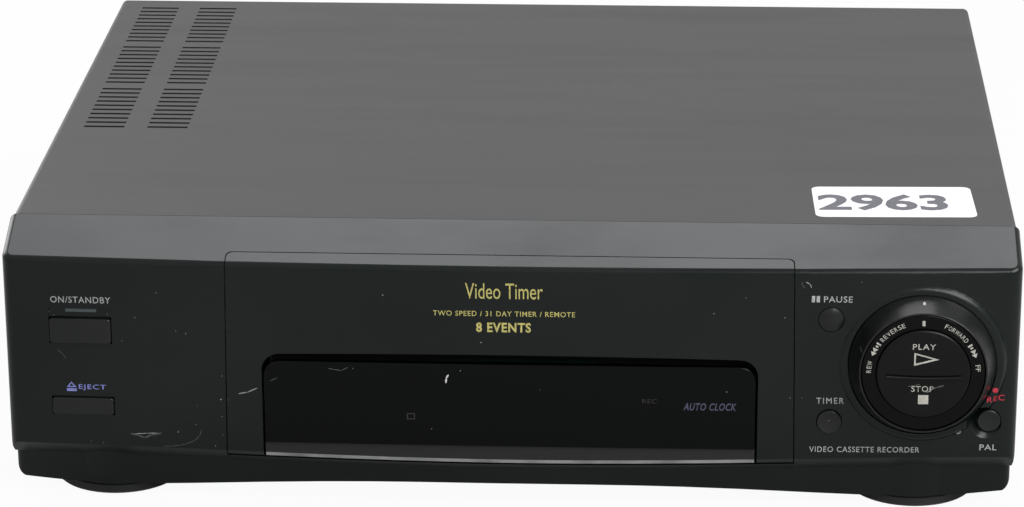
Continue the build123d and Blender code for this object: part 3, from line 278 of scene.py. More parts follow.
looks["coverPaint"] = paintedSteel("coverPaint", dict(
    colour=(0.018, 0.018, 0.0188), dustColour=(0.036, 0.036, 0.036), dust=0.6, roughness=0.42, specular=0.4,
    peel=1500.0, bump=0.16))
looks["screwBlack"] = paintedSteel("screwBlack", dict(
    colour=(0.02, 0.02, 0.02), dustColour=(0.1, 0.1, 0.1), dust=0.5, roughness=0.35, specular=0.5,
    peel=900.0, bump=0.1))


def plainSteel(name, look):
    # rolled sheet: fine lines along the roll and a faint spangle
    material = newSurface(name, look["colour"], look["roughness"], metallic=1.0)
    lines = noiseField(material, 900.0, detail=2.0, stretch=look["roll"])
    spangle = noiseField(material, 160.0, detail=2.0)
    handled = noiseField(material, 14.0, detail=4.0)
    patches = remap(material, spangle, (0.35, 0.65), (0.0, 1.0))
    base = tint(material, patches, look["colour"], look["second"])
    dull = tuple(channel * 0.75 for channel in look["colour"])
    touched = remap(material, handled, (0.5, 0.75), (0.0, 0.6))
    plug(material, tint(material, touched, base, dull), "Base Color")
    spread = 0.07
    dullness = remap(material, lines, (0.3, 0.7), (look["roughness"] - spread, look["roughness"] + spread))
    plug(material, dullness, "Roughness")
    bumpFrom(material, lines, look["bump"], 0.05 * mm)
    return material


metalLooks = {
    "zincSteel": dict(colour=(0.42, 0.43, 0.42), second=(0.5, 0.5, 0.47), roughness=0.38,
                      roll=(1, 0.05, 1), bump=0.2),
    "machinedAlloy": dict(colour=(0.62, 0.62, 0.63), second=(0.57, 0.57, 0.6), roughness=0.25,
                          roll=(0.05, 0.05, 1), bump=0.12),
    "castCore": dict(colour=(0.16, 0.15, 0.14), second=(0.22, 0.19, 0.16), roughness=0.5,
                     roll=(0.1, 1, 1), bump=0.3),
}
for name, look in metalLooks.items():
    looks[name] = plainSteel(name, look)


def circuitBoard(name, base, track):
    material = newSurface(name, base, 0.45)
    traces = addNode(material, "ShaderNodeTexBrick", Scale=55.0)
    traces.inputs["Mortar Size"].default_value = 0.06
    link(material, objectPoints(material), traces.inputs["Vector"])
    speckle = noiseField(material, 220.0, detail=2.0)
    mask = combine(material, "MULTIPLY", traces.outputs["Fac"],
                   remap(material, speckle, (0.4, 0.6), (0.2, 1.0)))
    plug(material, tint(material, mask, base, track), "Base Color")
    bumpFrom(material, mask, 0.3, 0.1 * mm)
    return material


looks["boardGreen"] = circuitBoard("boardGreen", (0.02, 0.09, 0.035), (0.05, 0.2, 0.07))
looks["boardTan"] = circuitBoard("boardTan", (0.30, 0.19, 0.075), (0.4, 0.27, 0.12))


def smokedFlap(name, look):
    # gloss window above, matt chin below, and a painted highlight along the chin's lower edge
    material = newSurface(name, look["window"], look["windowRough"], specular=look["specular"])
    split = addNode(material, "ShaderNodeSeparateXYZ")
    link(material, objectPoints(material), split.inputs["Vector"])
    isChin = combine(material, "LESS_THAN", split.outputs["Z"], look["chinTop"])
    facing = addNode(material, "ShaderNodeTexCoord")
    lean = addNode(material, "ShaderNodeSeparateXYZ")
    link(material, facing.outputs["Normal"], lean.inputs["Vector"])
    # painted highlight: where the chin looks down and forward it is coloured pale in place of a reflection
    down = remap(material, lean.outputs["Z"], (-0.35, -0.55), (0.0, 1.0))
    frontal = combine(material, "LESS_THAN", lean.outputs["Y"], -0.3)
    rubbed = combine(material, "MULTIPLY", combine(material, "MULTIPLY", down, frontal), isChin)
    patchy = remap(material, noiseField(material, 90.0, detail=4.0), (0.3, 0.6), (0.55, 1.0))
    smear = noiseField(material, 14.0, detail=4.0, stretch=(0.5, 1, 1.4))
    gloss = remap(material, smear, (0.35, 0.7), (look["windowRough"] - 0.02, look["windowRough"] + 0.06))
    matt = remap(material, smear, (0.3, 0.7), (look["chinRough"] - 0.04, look["chinRough"] + 0.04))
    chosen = addNode(material, "ShaderNodeMix", data_type="FLOAT")  # inputs 2 and 3 are its two numbers
    link(material, isChin, chosen.inputs["Factor"])
    link(material, gloss, chosen.inputs[2])
    link(material, matt, chosen.inputs[3])
    plug(material, chosen.outputs[0], "Roughness")
    body = tint(material, isChin, look["window"], look["chin"])
    dusty = tint(material, dustSpecks(material, scale=300.0, rarity=0.975), body, (0.10, 0.10, 0.10))
    # the pale edge colour is a painted highlight, broken up by patchy noise
    edge = combine(material, "MULTIPLY", rubbed, patchy)
    plug(material, tint(material, edge, dusty, look["edge"]), "Base Color")
    grain = combine(material, "MULTIPLY", noiseField(material, 2600.0, detail=2.0), isChin)
    bumpFrom(material, grain, 0.12, 0.1 * mm)
    return material


# edge is the pale colour of the painted highlight on the chin's lower edge
flapLook = dict(window=(0.0004, 0.0008, 0.0007), windowRough=0.08, specular=0.1,
                chin=(0.026, 0.0262, 0.026), chinRough=0.34, edge=(0.45, 0.45, 0.46), chinTop=26.2 * mm)
looks["windowSmoke"] = smokedFlap("windowSmoke", flapLook)


def displayGlass(name, dark, lit):
    material = newSurface(name, dark, 0.08)
    cells = noiseField(material, 700.0, detail=1.0, stretch=(1, 1, 0.1))
    plug(material, tint(material, cells, dark, lit), "Base Color")
    return material


looks["displayGlass"] = displayGlass("displayGlass", (0.012, 0.03, 0.028), (0.03, 0.06, 0.055))


def printInk(name, colour, wornShare=0.72):
    # screen-printed ink, thinner where it has been touched
    material = newSurface(name, colour, 0.5, specular=0.3)
    wear = noiseField(material, 900.0)
    faded = tuple(channel * wornShare for channel in colour)
    thin = remap(material, wear, (0.35, 0.7), (0.0, 1.0))
    plug(material, tint(material, thin, colour, faded), "Base Color")
    bumpFrom(material, wear, 0.1, 0.05 * mm)
    return material


inkColours = {
    "inkGrey": (0.42, 0.43, 0.42),
    "inkGold": (0.58, 0.52, 0.17),
    "inkBlue": (0.27, 0.29, 0.72),
    "inkRed": (0.55, 0.03, 0.06),
    "inkWarm": (0.50, 0.49, 0.44),
    "inkDim": (0.020, 0.018, 0.018),
    "inkSmoke": (0.075, 0.080, 0.13),
    "inkLens": (0.075, 0.090, 0.093),
    "inkLabel": (0.125, 0.125, 0.145),
    "inkBlack": (0.012, 0.012, 0.012),
    "scuffPale": (0.30, 0.31, 0.31),
    "scuffDim": (0.075, 0.078, 0.078),
    "scuffWhite": (0.75, 0.75, 0.72),
}
inks = {name: printInk(name, colour) for name, colour in inkColours.items()}


def labelPaper(name, colour, shade):
    material = newSurface(name, colour, 0.42, specular=0.4)
    fibre = noiseField(material, 1200.0)
    grubby = noiseField(material, 30.0, detail=4.0)
    clean = tint(material, fibre, colour, shade)
    stain = remap(material, grubby, (0.55, 0.8), (0.0, 0.5))
    plug(material, tint(material, stain, clean, (0.66, 0.65, 0.62)), "Base Color")
    bumpFrom(material, fibre, 0.08, 0.05 * mm)
    return material


looks["labelPaper"] = labelPaper("labelPaper", (0.84, 0.84, 0.86), (0.79, 0.79, 0.80))

nodeLooks = {
    "coverPaint": ["top_cover"],
    "caseBlack": ["front_bezel"],
    "lidBlack": ["cassette_lid"],
    "windowSmoke": ["display_flap"],
    "controlBlack": ["power_button", "eject_button", "pause_button", "timer_button", "record_button",
                     "channel_up_key", "channel_down_key", "store_key", "tracking_key", "shuttle_ring"],
    "discBlack": ["play_stop_disc"],
    "glossBlack": ["legend_ring"],
    "footBlack": ["front_feet", "rear_feet"],
    "innerBlack": ["inner_panel", "scart_socket_one", "scart_socket_two", "mains_inlet", "shuttle_encoder",
                   "capacitors"],
    "standbyLens": ["standby_indicator"],
    "displayGlass": ["fluorescent_display"],
    "boardTan": ["display_board", "left_control_board", "right_control_board", "power_board"],
    "boardGreen": ["main_board"],
    "zincSteel": ["base_chassis", "rear_panel", "tuner_module", "deck_plate", "side_frame_left",
                  "side_frame_right", "capstan_motor", "loading_motor", "holder_slider",
                  "cassette_holder", "pinch_arm"],
    "machinedAlloy": ["heat_sink", "drum_base", "head_drum", "capstan", "control_head", "erase_head",
                      "guide_carriage_left", "guide_carriage_right"],
    "castCore": ["transformer"],
    "gearWhite": ["idler_arm", "idler_gear", "cam_gear", "worm_shaft"],
    "reelGrey": ["supply_reel", "takeup_reel"],
    "rollerBlack": ["pinch_roller"],
}
for lookName, members in nodeLooks.items():
    for member in members:
        for slotItem in nodes[member].material_slots:
            slotItem.material = looks[lookName]
print("materials on nodes:", sum(len(members) for members in nodeLooks.values()), "of", len(nodes))


# printed words, signs and marks of use
surfaces = {
    # body that carries the print, node it lies on and the plane it starts from
    "face": dict(body="casing", node="front_bezel", start=faceFront),
    "lid": dict(body="cassette_lid", node="cassette_lid", start=faceFront),
    "flap": dict(body="display_flap", node="display_flap", start=faceFront),
    "disc": dict(body="play_stop_disc", node="play_stop_disc", start=knobFront),
    "legend": dict(body="casing", node="legend_ring", start=knobFront),
    "ring": dict(body="shuttle_ring", node="shuttle_ring", start=knobFront),
    "timer": dict(body="timer_button", node="timer_button", start=faceFront),
    "rear": dict(body="casing", node="rear_panel", start=rearFront),
}
printLift = 0.03 * mm


def layOn(piece, name, ink, surface, cuts=0):
    # a flat print is laid back onto the surface behind it, cut finer where that is curved
    place = surfaces[surface]
    settle(piece, name)
    if cuts:
        pick(piece)
        bpy.ops.object.mode_set(mode="EDIT")
        bpy.ops.mesh.select_all(action="SELECT")
        bpy.ops.mesh.quads_convert_to_tris()
        bpy.ops.mesh.subdivide(number_cuts=cuts)
        bpy.ops.object.mode_set(mode="OBJECT")
    addModifier(piece, "SHRINKWRAP", target=nodes[place["node"]], wrap_method="PROJECT",
                wrap_mode="ABOVE_SURFACE", offset=printLift, use_project_y=True,
                use_negative_direction=True, use_positive_direction=True)
    return dress(piece, inks[ink], place["body"])


def flatWord(words, size, weight, slant=0.0, spacing=1.0):
    # a word as a flat mesh about the origin, size is (width, height) in mm
    clearSelection()
    bpy.ops.object.text_add(location=(0, 0, 0))
    piece = bpy.context.object
    piece.data.body = words
    piece.data.offset = weight
    piece.data.space_character = spacing
    piece.data.shear = slant
    piece.data.resolution_u = 3
    bpy.ops.object.convert(target="MESH")
    piece = bpy.context.object
    fitFlat(piece, size)
    return piece


def standUp(piece, x, z, start, turn=0.0):
    # upright in front of the face, turn is degrees counter-clockwise as the user sees it
    piece.rotation_euler = (math.radians(90), math.radians(-turn), 0)
    piece.location = (x * mm, start, z * mm)


plainWord = dict(weight=0.005, slant=0.0, spacing=1.12)  # how a word is drawn unless its row says otherwise


def printWord(name, row):
    weight, slant, spacing = (row.get(key, plain) for key, plain in plainWord.items())
    piece = flatWord(row["words"], row["size"], weight, slant, spacing)
    surface = row.get("surface", "face")
    standUp(piece, row["at"][0], row["at"][1], surfaces[surface]["start"])
    if surface == "rear":
        piece.rotation_euler[2] = math.radians(180)
    return layOn(piece, name, row["ink"], surface, row.get("cuts", 0))


wordRows = {
    "standbyWord": dict(words="ON/STANDBY", at=(-164.8, 83.2), size=(23.3, 2.6), ink="inkGrey"),
    "ejectWord": dict(words="EJECT", at=(-161.6, 46.9), size=(10.6, 2.6), ink="inkBlue"),
    "pauseWord": dict(words="PAUSE", at=(125.3, 88.0), size=(10.9, 2.5), ink="inkGrey"),
    "timerWord": dict(words="TIMER", at=(123.2, 46.4), size=(10.5, 2.4), ink="inkGrey", weight=0.0,
                      spacing=1.25),
    "recordWord": dict(words="REC", at=(186.4, 48.1), size=(6.8, 2.4), ink="inkRed", cuts=4),
    "kindWord": dict(words="VIDEO CASSETTE RECORDER", at=(136.8, 26.2), size=(42.3, 2.3), ink="inkGrey"),
    "speedWord": dict(words="PAL", at=(184.3, 27.4), size=(6.6, 2.4), ink="inkGrey"),
    "lidTitle": dict(words="Video Timer", at=(-1.8, 89.9), size=(29.6, 6.4), ink="inkGold", surface="lid",
                     weight=0.0, spacing=1.0),
    "lidNote": dict(words="TWO SPEED / 31 DAY TIMER / REMOTE", at=(-1.8, 80.7), size=(54.3, 2.1),
                    ink="inkGold", surface="lid"),
    "lidCount": dict(words="8 EVENTS", at=(-2.0, 75.1), size=(21.0, 4.0), ink="inkGold", surface="lid",
                     weight=0.03),
    "windowWord": dict(words="AUTO CLOCK", at=(77.2, 43.7), size=(20.4, 3.1), ink="inkSmoke",
                       surface="flap", slant=0.25, weight=0.02),
    "windowNote": dict(words="REC", at=(54.0, 45.8), size=(5.6, 1.8), ink="inkDim", surface="flap"),
    "playWord": dict(words="PLAY", at=(knobX, knobZ + 11.1), size=(8.7, 2.3), ink="inkWarm",
                     surface="disc"),
    "stopWord": dict(words="STOP", at=(knobX - 0.2, knobZ - 6.0), size=(8.4, 2.4), ink="inkWarm",
                     surface="disc"),
    "aerialInWord": dict(words="AERIAL IN", at=(154.0, 57.5), size=(15.0, 2.6), ink="inkBlack",
                         surface="rear"),
    "aerialOutWord": dict(words="AERIAL OUT", at=(154.0, 50.0), size=(17.0, 2.6), ink="inkBlack",
                          surface="rear"),
    "lineTwoWord": dict(words="LINE 2", at=(78.0, 38.6), size=(11.0, 2.8), ink="inkBlack", surface="rear"),
    "lineOneWord": dict(words="LINE 1 (TV)", at=(18.0, 38.6), size=(18.0, 2.8), ink="inkBlack",
                        surface="rear"),
    "mainsWord": dict(words="AC IN", at=(-160.0, 40.6), size=(10.0, 2.8), ink="inkBlack", surface="rear"),
}
for name, row in wordRows.items():
    printWord(name, row)
print("words printed:", len(wordRows))


def printShape(name, row):
    # small signs: a regular outline brought to its size, hollowed where it is drawn as a line
    clearSelection()
    corners = row["corners"]
    bpy.ops.mesh.primitive_circle_add(vertices=corners, radius=1, fill_type="NGON", rotation=(0, 0, 0))
    piece = bpy.context.object
    bpy.ops.object.mode_set(mode="EDIT")
    bpy.ops.mesh.select_all(action="SELECT")
    if corners == 4:
        bpy.ops.transform.rotate(value=math.radians(45), orient_axis="Z", center_override=(0, 0, 0))
    bpy.ops.object.mode_set(mode="OBJECT")
    fitFlat(piece, row["size"])
    if "line" in row:
        bpy.ops.object.mode_set(mode="EDIT")
        bpy.ops.mesh.inset(thickness=row["line"] * mm, depth=0)
        bpy.ops.mesh.delete(type="FACE")
        bpy.ops.object.mode_set(mode="OBJECT")
    surface = row.get("surface", "face")
    standUp(piece, row["at"][0], row["at"][1], surfaces[surface]["start"], row.get("turn", 0.0))
    return layOn(piece, name, row["ink"], surface, row.get("cuts", 0))


legendRadius = 20.7


def onLegend(degrees, radius=legendRadius):
    return (knobX + radius * math.cos(math.radians(degrees)),
            knobZ + radius * math.sin(math.radians(degrees)))


shapeRows = {
    "standbyPlate": dict(corners=4, at=(-164.9, 78.7), size=(12.0, 1.25), ink="inkLens"),
    "ejectArrow": dict(corners=3, at=(-169.7, 48.1), size=(3.9, 2.3), line=0.45, ink="inkBlue"),
    "ejectBar": dict(corners=4, at=(-169.7, 45.85), size=(3.9, 1.2), ink="inkBlue"),
    "pauseBarLeft": dict(corners=4, at=(115.85, 88.05), size=(1.25, 2.6), ink="inkGrey"),
    "pauseBarRight": dict(corners=4, at=(117.7, 88.05), size=(1.25, 2.6), ink="inkGrey"),
    "recordDot": dict(corners=20, at=(186.0, 52.0), size=(2.1, 2.1), ink="inkRed", cuts=3),
    "timerDot": dict(corners=12, at=(122.95, 38.3), size=(0.7, 0.7), ink="scuffDim", surface="timer"),
    "playArrow": dict(corners=3, at=(knobX + 1.1, knobZ + 6.1), size=(5.2, 9.6), line=0.62, turn=-90.0,
                      ink="inkWarm", surface="disc"),
    "stopSquare": dict(corners=4, at=(knobX + 0.2, knobZ - 10.4), size=(3.9, 3.7), ink="inkWarm",
                       surface="disc"),
    "ringMark": dict(corners=12, at=(knobX - 0.2, knobZ + 26.5), size=(1.1, 0.8), ink="inkWarm",
                     surface="ring"),
    "legendTop": dict(corners=4, at=(knobX - 0.4, knobZ + 20.2), size=(1.1, 2.1), ink="inkWarm",
                      surface="legend"),
    "windowSign": dict(corners=4, at=(-37.9, 38.1), size=(3.2, 2.7), line=0.5, ink="inkDim",
                       surface="flap"),
}
# bars and arrows by the words on the legend ring: corners, size, place around the knob, added turn
legendSigns = {
    "reverseBarA": (4, (1.1, 0.7), 149.2, 0),
    "reverseBarB": (4, (1.9, 0.7), 146.0, 0),
    "forwardBarA": (4, (1.9, 0.7), 33.4, 0),
    "forwardBarB": (4, (1.1, 0.7), 30.2, 0),
    "rewindArrowA": (3, (2.3, 1.7), 158.6, 0),
    "rewindArrowB": (3, (2.3, 1.7), 154.2, 0),
    "windArrowA": (3, (2.3, 1.7), 25.0, 180),
    "windArrowB": (3, (2.3, 1.7), 20.6, 180),
}
for name, (corners, size, degrees, addedTurn) in legendSigns.items():
    shapeRows[name] = dict(corners=corners, at=onLegend(degrees), size=size, turn=degrees + addedTurn,
                           ink="inkWarm", surface="legend")
for name, row in shapeRows.items():
    printShape(name, row)
print("signs printed:", len(shapeRows))


arcLetter = dict(width=1.2, height=1.8, wider={"W": 1.4})


def printArc(name, row):
    # letters stand around the knob, tops outward, read clockwise
    letters = []
    steps = len(row["words"])
    for index, letter in enumerate(row["words"]):
        angle = row["start"] + (row["end"] - row["start"]) * (index + 0.5) / steps
        width = arcLetter["width"] * arcLetter["wider"].get(letter, 1.0)
        piece = flatWord(letter, (width, arcLetter["height"]), weight=0.0)
        x, z = onLegend(angle)
        standUp(piece, x, z, surfaces["legend"]["start"], angle - 90)
        letters.append(piece)
    return layOn(joinPieces(letters), name, "inkWarm", "legend")


arcRows = {
    "reverseWord": dict(words="REVERSE", start=142.0, end=110.6),
    "forwardWord": dict(words="FORWARD", start=68.8, end=38.3),
    "rewindWord": dict(words="REW", start=181.0, end=167.0),
    "windWord": dict(words="FF", start=10.4, end=2.2),
}
for name, row in arcRows.items():
    printArc(name, row)
print("legend ring words:", len(arcRows))


strokeReach = 0.56  # of the run between two points, so that neighbouring strokes overlap


def scuff(name, row):
    # a scratch is a run of thin pointed strokes along its line
    strokes = []
    surface = row.get("surface", "face")
    for (x1, z1), (x2, z2) in zip(row["line"], row["line"][1:]):
        clearSelection()
        bpy.ops.mesh.primitive_circle_add(vertices=10, radius=1, fill_type="NGON")
        stroke = bpy.context.object
        length = math.hypot(x2 - x1, z2 - z1)
        stroke.scale = (length * strokeReach * mm, row["width"] / 2 * mm, 1)
        turn = math.degrees(math.atan2(z2 - z1, x2 - x1))
        standUp(stroke, (x1 + x2) / 2, (z1 + z2) / 2, surfaces[surface]["start"], turn)
        strokes.append(stroke)
    return layOn(joinPieces(strokes), name, row["ink"], surface)


scuffRows = {
    "scuffChevron": dict(line=[(-147.4, 28.0), (-144.6, 27.5), (-142.0, 26.4), (-139.2, 27.6),
                               (-135.2, 28.6)],
                         width=0.75, ink="scuffDim"),
    "scuffChevronTop": dict(line=[(-146.6, 27.9), (-141.0, 28.3), (-136.2, 28.5)], width=0.35,
                            ink="scuffPale"),
    "scuffCurve": dict(line=[(-134.5, 23.0), (-131.2, 23.2), (-128.3, 23.6), (-125.9, 24.2), (-122.6, 25.5),
                             (-120.3, 27.8), (-119.6, 30.2)], width=0.28, ink="scuffDim"),
    "scuffLidLeft": dict(line=[(-104.6, 45.8), (-101.1, 46.5), (-97.4, 48.3)], width=0.5, ink="scuffPale",
                         surface="lid"),
    "scuffWindowLeft": dict(line=[(-92.3, 51.6), (-89.4, 53.1)], width=0.3, ink="scuffDim", surface="flap"),
    "scuffWindowChip": dict(line=[(-24.2, 52.2), (-24.1, 54.1), (-23.3, 55.6)], width=0.7, ink="scuffWhite",
                            surface="flap"),
    "scuffWindowTop": dict(line=[(-69.5, 57.4), (-67.5, 57.0), (-64.6, 56.6), (-62.0, 57.9)], width=0.35,
                           ink="scuffDim", surface="flap"),
    "scuffPauseA": dict(line=[(111.4, 95.0), (111.5, 93.6), (112.7, 92.4)], width=0.3, ink="scuffDim"),
    "scuffPauseB": dict(line=[(112.9, 94.9), (114.5, 94.1), (115.0, 92.7)], width=0.35, ink="scuffPale"),
    "scuffKnobChip": dict(line=[(171.6, 34.9), (172.4, 33.0), (173.4, 33.4), (173.3, 34.7)], width=0.5,
                          ink="scuffPale"),
    "scuffPower": dict(line=[(-174.4, 62.4), (-172.4, 60.4), (-171.4, 58.8)], width=0.25, ink="scuffDim"),
    "scuffStopA": dict(line=[(knobX - 5.6, knobZ - 5.0), (knobX - 3.0, knobZ - 4.6),
                             (knobX - 1.2, knobZ - 4.0)],
                       width=0.45, ink="scuffDim", surface="disc"),
    "scuffStopB": dict(line=[(knobX + 3.6, knobZ - 5.8), (knobX + 5.2, knobZ - 5.2),
                             (knobX + 7.8, knobZ - 4.4)],
                       width=0.6, ink="scuffDim", surface="disc"),
    "scuffStopC": dict(line=[(knobX + 1.4, knobZ - 7.4), (knobX + 3.2, knobZ - 6.6)], width=0.3,
                       ink="scuffPale", surface="disc"),
    "scuffRing": dict(line=[(knobX - 24.1, knobZ + 9.4), (knobX - 23.4, knobZ + 7.8)], width=0.5,
                      ink="scuffDim", surface="ring"),
}
for name, row in scuffRows.items():
    scuff(name, row)
print("scratches:", len(scuffRows))

# grains of dust and nicks, (x, z, size) in mm
specks = {
    "face": [(-110.9, 53.0, 0.35), (-111.6, 43.2, 0.6), (-111.4, 36.0, 0.35), (-111.2, 28.4, 0.3),
             (-114.3, 23.7, 0.4), (-128.7, 29.2, 0.5), (-121.6, 32.5, 0.3), (-124.4, 70.2, 0.4),
             (-128.2, 71.2, 0.4), (-143.9, 76.4, 0.4), (-135.3, 86.7, 0.4), (-149.3, 66.7, 0.3),
             (-120.9, 40.3, 0.3), (-163.0, 24.4, 0.3), (-158.2, 23.8, 0.3), (-177.2, 77.8, 0.3),
             (-154.5, 77.4, 0.3), (-175.3, 76.5, 0.3), (112.4, 47.4, 0.3), (134.0, 95.0, 0.3)],
    "lid": [(-48.1, 87.6, 0.5), (-10.7, 68.8, 0.5), (78.2, 81.8, 0.4), (90.3, 88.3, 0.35),
            (105.2, 80.4, 0.4), (-108.6, 43.1, 0.3), (107.9, 47.4, 0.3)],
    "flap": [(-18.6, 57.4, 0.4), (83.6, 50.0, 0.4), (-60.0, 57.6, 0.3), (12.0, 50.0, 0.25),
             (-30.0, 33.0, 0.3)],
}


grainTurn = 37  # degrees for each mm across, so that the grains lie every way


def scatterSpecks(surface, grains):
    pieces = []
    for x, z, size in grains:
        clearSelection()
        bpy.ops.mesh.primitive_circle_add(vertices=7, radius=size / 2 * mm, fill_type="NGON")
        grain = bpy.context.object
        grain.scale = (1.3, 0.8, 1)
        standUp(grain, x, z, surfaces[surface]["start"], (x * grainTurn) % 180)
        pieces.append(grain)
    return layOn(joinPieces(pieces), surface + "Specks", "scuffPale", surface)


for surface, grains in specks.items():
    scatterSpecks(surface, grains)
print("specks:", sum(len(grains) for grains in specks.values()))

# stock label on the cover
stockLabel = dict(centre=(147.9, -103.3), size=(62.4, 35.2), corner=3.2, cornerSteps=6, thickness=0.12,
                  turn=1.6, lift=0.02, digits="2963", digitWeight=0.032, digitCentre=(-4.3, -0.8),
                  digitSize=(50.6, 19.0))


def makeLabel(look):
    clearSelection()
    top = coverBox[1][2]
    bpy.ops.mesh.primitive_plane_add(size=1)
    piece = bpy.context.object
    bpy.ops.object.mode_set(mode="EDIT")
    bpy.ops.mesh.select_all(action="SELECT")
    bpy.ops.transform.resize(value=(look["size"][0] * mm, look["size"][1] * mm, 1),
                             center_override=(0, 0, 0))
    bpy.ops.mesh.bevel(offset=look["corner"] * mm, segments=look["cornerSteps"], affect="VERTICES")
    bpy.ops.mesh.select_all(action="SELECT")
    bpy.ops.mesh.extrude_region_move(TRANSFORM_OT_translate=dict(value=(0, 0, look["thickness"] * mm)))
    bpy.ops.mesh.select_all(action="SELECT")
    bpy.ops.mesh.normals_make_consistent(inside=False)
    bpy.ops.object.mode_set(mode="OBJECT")
    piece.rotation_euler = (0, 0, math.radians(look["turn"]))
    piece.location = (look["centre"][0] * mm, look["centre"][1] * mm, top + look["lift"] * mm)
    settle(piece, "stockLabel")
    dress(piece, looks["labelPaper"], "casing")
    digits = flatWord(look["digits"], look["digitSize"], look["digitWeight"])
    turn = math.radians(look["turn"])
    across, along = look["digitCentre"]
    digits.rotation_euler = (0, 0, turn)
    digits.location = ((look["centre"][0] + across * math.cos(turn) - along * math.sin(turn)) * mm,
                       (look["centre"][1] + across * math.sin(turn) + along * math.cos(turn)) * mm,
                       top + (look["thickness"] + 2 * look["lift"]) * mm)
    settle(digits, "stockDigits")
    dress(digits, inks["inkLabel"], "casing")


makeLabel(stockLabel)
print("stock label placed")

# cover screws
screwLook = dict(sides=32, head=3.6, height=1.5, rim=0.8, crown=0.25, recess=2.1, depth=0.9,
                 crossWidth=0.42, crossReach=1.05, wedge=(20, 70), crossTaper=0.7, edgeRound=0.12)
screwRow = dict(backX=120.0, backZ=102.0, proud=0.9, sideX=194.0, sideZ=17.0, front=60.0, rear=235.0)
backY = rearBox[1][1] / mm + screwRow["proud"]
screwPlaces = [((sign * screwRow["backX"], backY, screwRow["backZ"]), "back") for sign in (-1, 1)]
for sign, side in ((-1, "left"), (1, "right")):
    for along in (screwRow["front"], screwRow["rear"]):
        screwPlaces.append(((sign * screwRow["sideX"], seamY / mm + along, screwRow["sideZ"]), side))
screwTurns = {"back": (-90, 0, 0), "left": (0, -90, 0), "right": (0, 90, 0)}


def makeScrew(look):
    # pan head with a cross recess, standing on the origin
    clearSelection()
    bpy.ops.mesh.primitive_cylinder_add(vertices=look["sides"], radius=look["head"] * mm,
                                        depth=look["height"] * mm, location=(0, 0, look["height"] / 2 * mm))
    piece = bpy.context.object
    bpy.ops.object.transform_apply(location=True, rotation=True, scale=True)
    top = look["height"] * mm
    selectFaces(piece, lambda face: face.normal.z > 0.9)
    bpy.ops.mesh.inset(thickness=look["rim"] * mm, depth=0)
    bpy.ops.transform.translate(value=(0, 0, look["crown"] * mm))
    bpy.ops.mesh.inset(thickness=(look["head"] - look["rim"] - look["recess"]) * mm, depth=0)
    bpy.ops.object.mode_set(mode="OBJECT")
    inner = look["recess"] * look["crossReach"] * mm
    for vertex in piece.data.vertices:
        angle = math.degrees(math.atan2(vertex.co.y, vertex.co.x)) % 90
        reach = math.hypot(vertex.co.x, vertex.co.y)
        vertex.select = reach < inner and vertex.co.z > top and look["wedge"][0] < angle < look["wedge"][1]
    bpy.ops.object.mode_set(mode="EDIT")
    bpy.ops.mesh.select_mode(type="VERT")
    bpy.ops.object.mode_set(mode="OBJECT")
    for edge in piece.data.edges:
        edge.select = all(piece.data.vertices[v].select for v in edge.vertices)
    for face in piece.data.polygons:
        face.select = False
    bpy.ops.object.mode_set(mode="EDIT")
    bpy.ops.transform.resize(value=(look["crossWidth"], look["crossWidth"], 1), center_override=(0, 0, 0))
    bpy.ops.object.mode_set(mode="OBJECT")
    selectFaces(piece, lambda face: face.normal.z > 0.9 and len(face.vertices) > look["sides"] / 2)
    bpy.ops.mesh.extrude_region_move(TRANSFORM_OT_translate=dict(value=(0, 0, -look["depth"] * mm)))
    bpy.ops.transform.resize(value=(look["crossTaper"], look["crossTaper"], 1), center_override=(0, 0, 0))
    bpy.ops.object.mode_set(mode="OBJECT")
    addModifier(piece, "BEVEL", width=look["edgeRound"] * mm, segments=2, limit_method="ANGLE",
                angle_limit=math.radians(35))
    return piece


firstScrew = makeScrew(screwLook)
for index, (place, side) in enumerate(screwPlaces):
    screw = firstScrew.copy()
    screw.data = firstScrew.data.copy()
    bpy.context.collection.objects.link(screw)
    screw.rotation_euler = [math.radians(angle) for angle in screwTurns[side]]
    screw.location = [value * mm for value in place]
    settle(screw, "coverScrew" + str(index + 1))
    dress(screw, looks["screwBlack"], "casing")
bpy.data.objects.remove(firstScrew)
print("cover screws:", len(screwPlaces))

# stage: pale floor that reads white and keeps the shadow
# half of the painted shadow patch beneath the machine, across and along, in metres
studio = dict(floorSize=8.0, floorColour=(0.6, 0.6, 0.6), floorGlow=0.95, mirrored=0.2,
              under=(0.15, 0.11), skyGrey=0.06, skyMirrored=0.85)


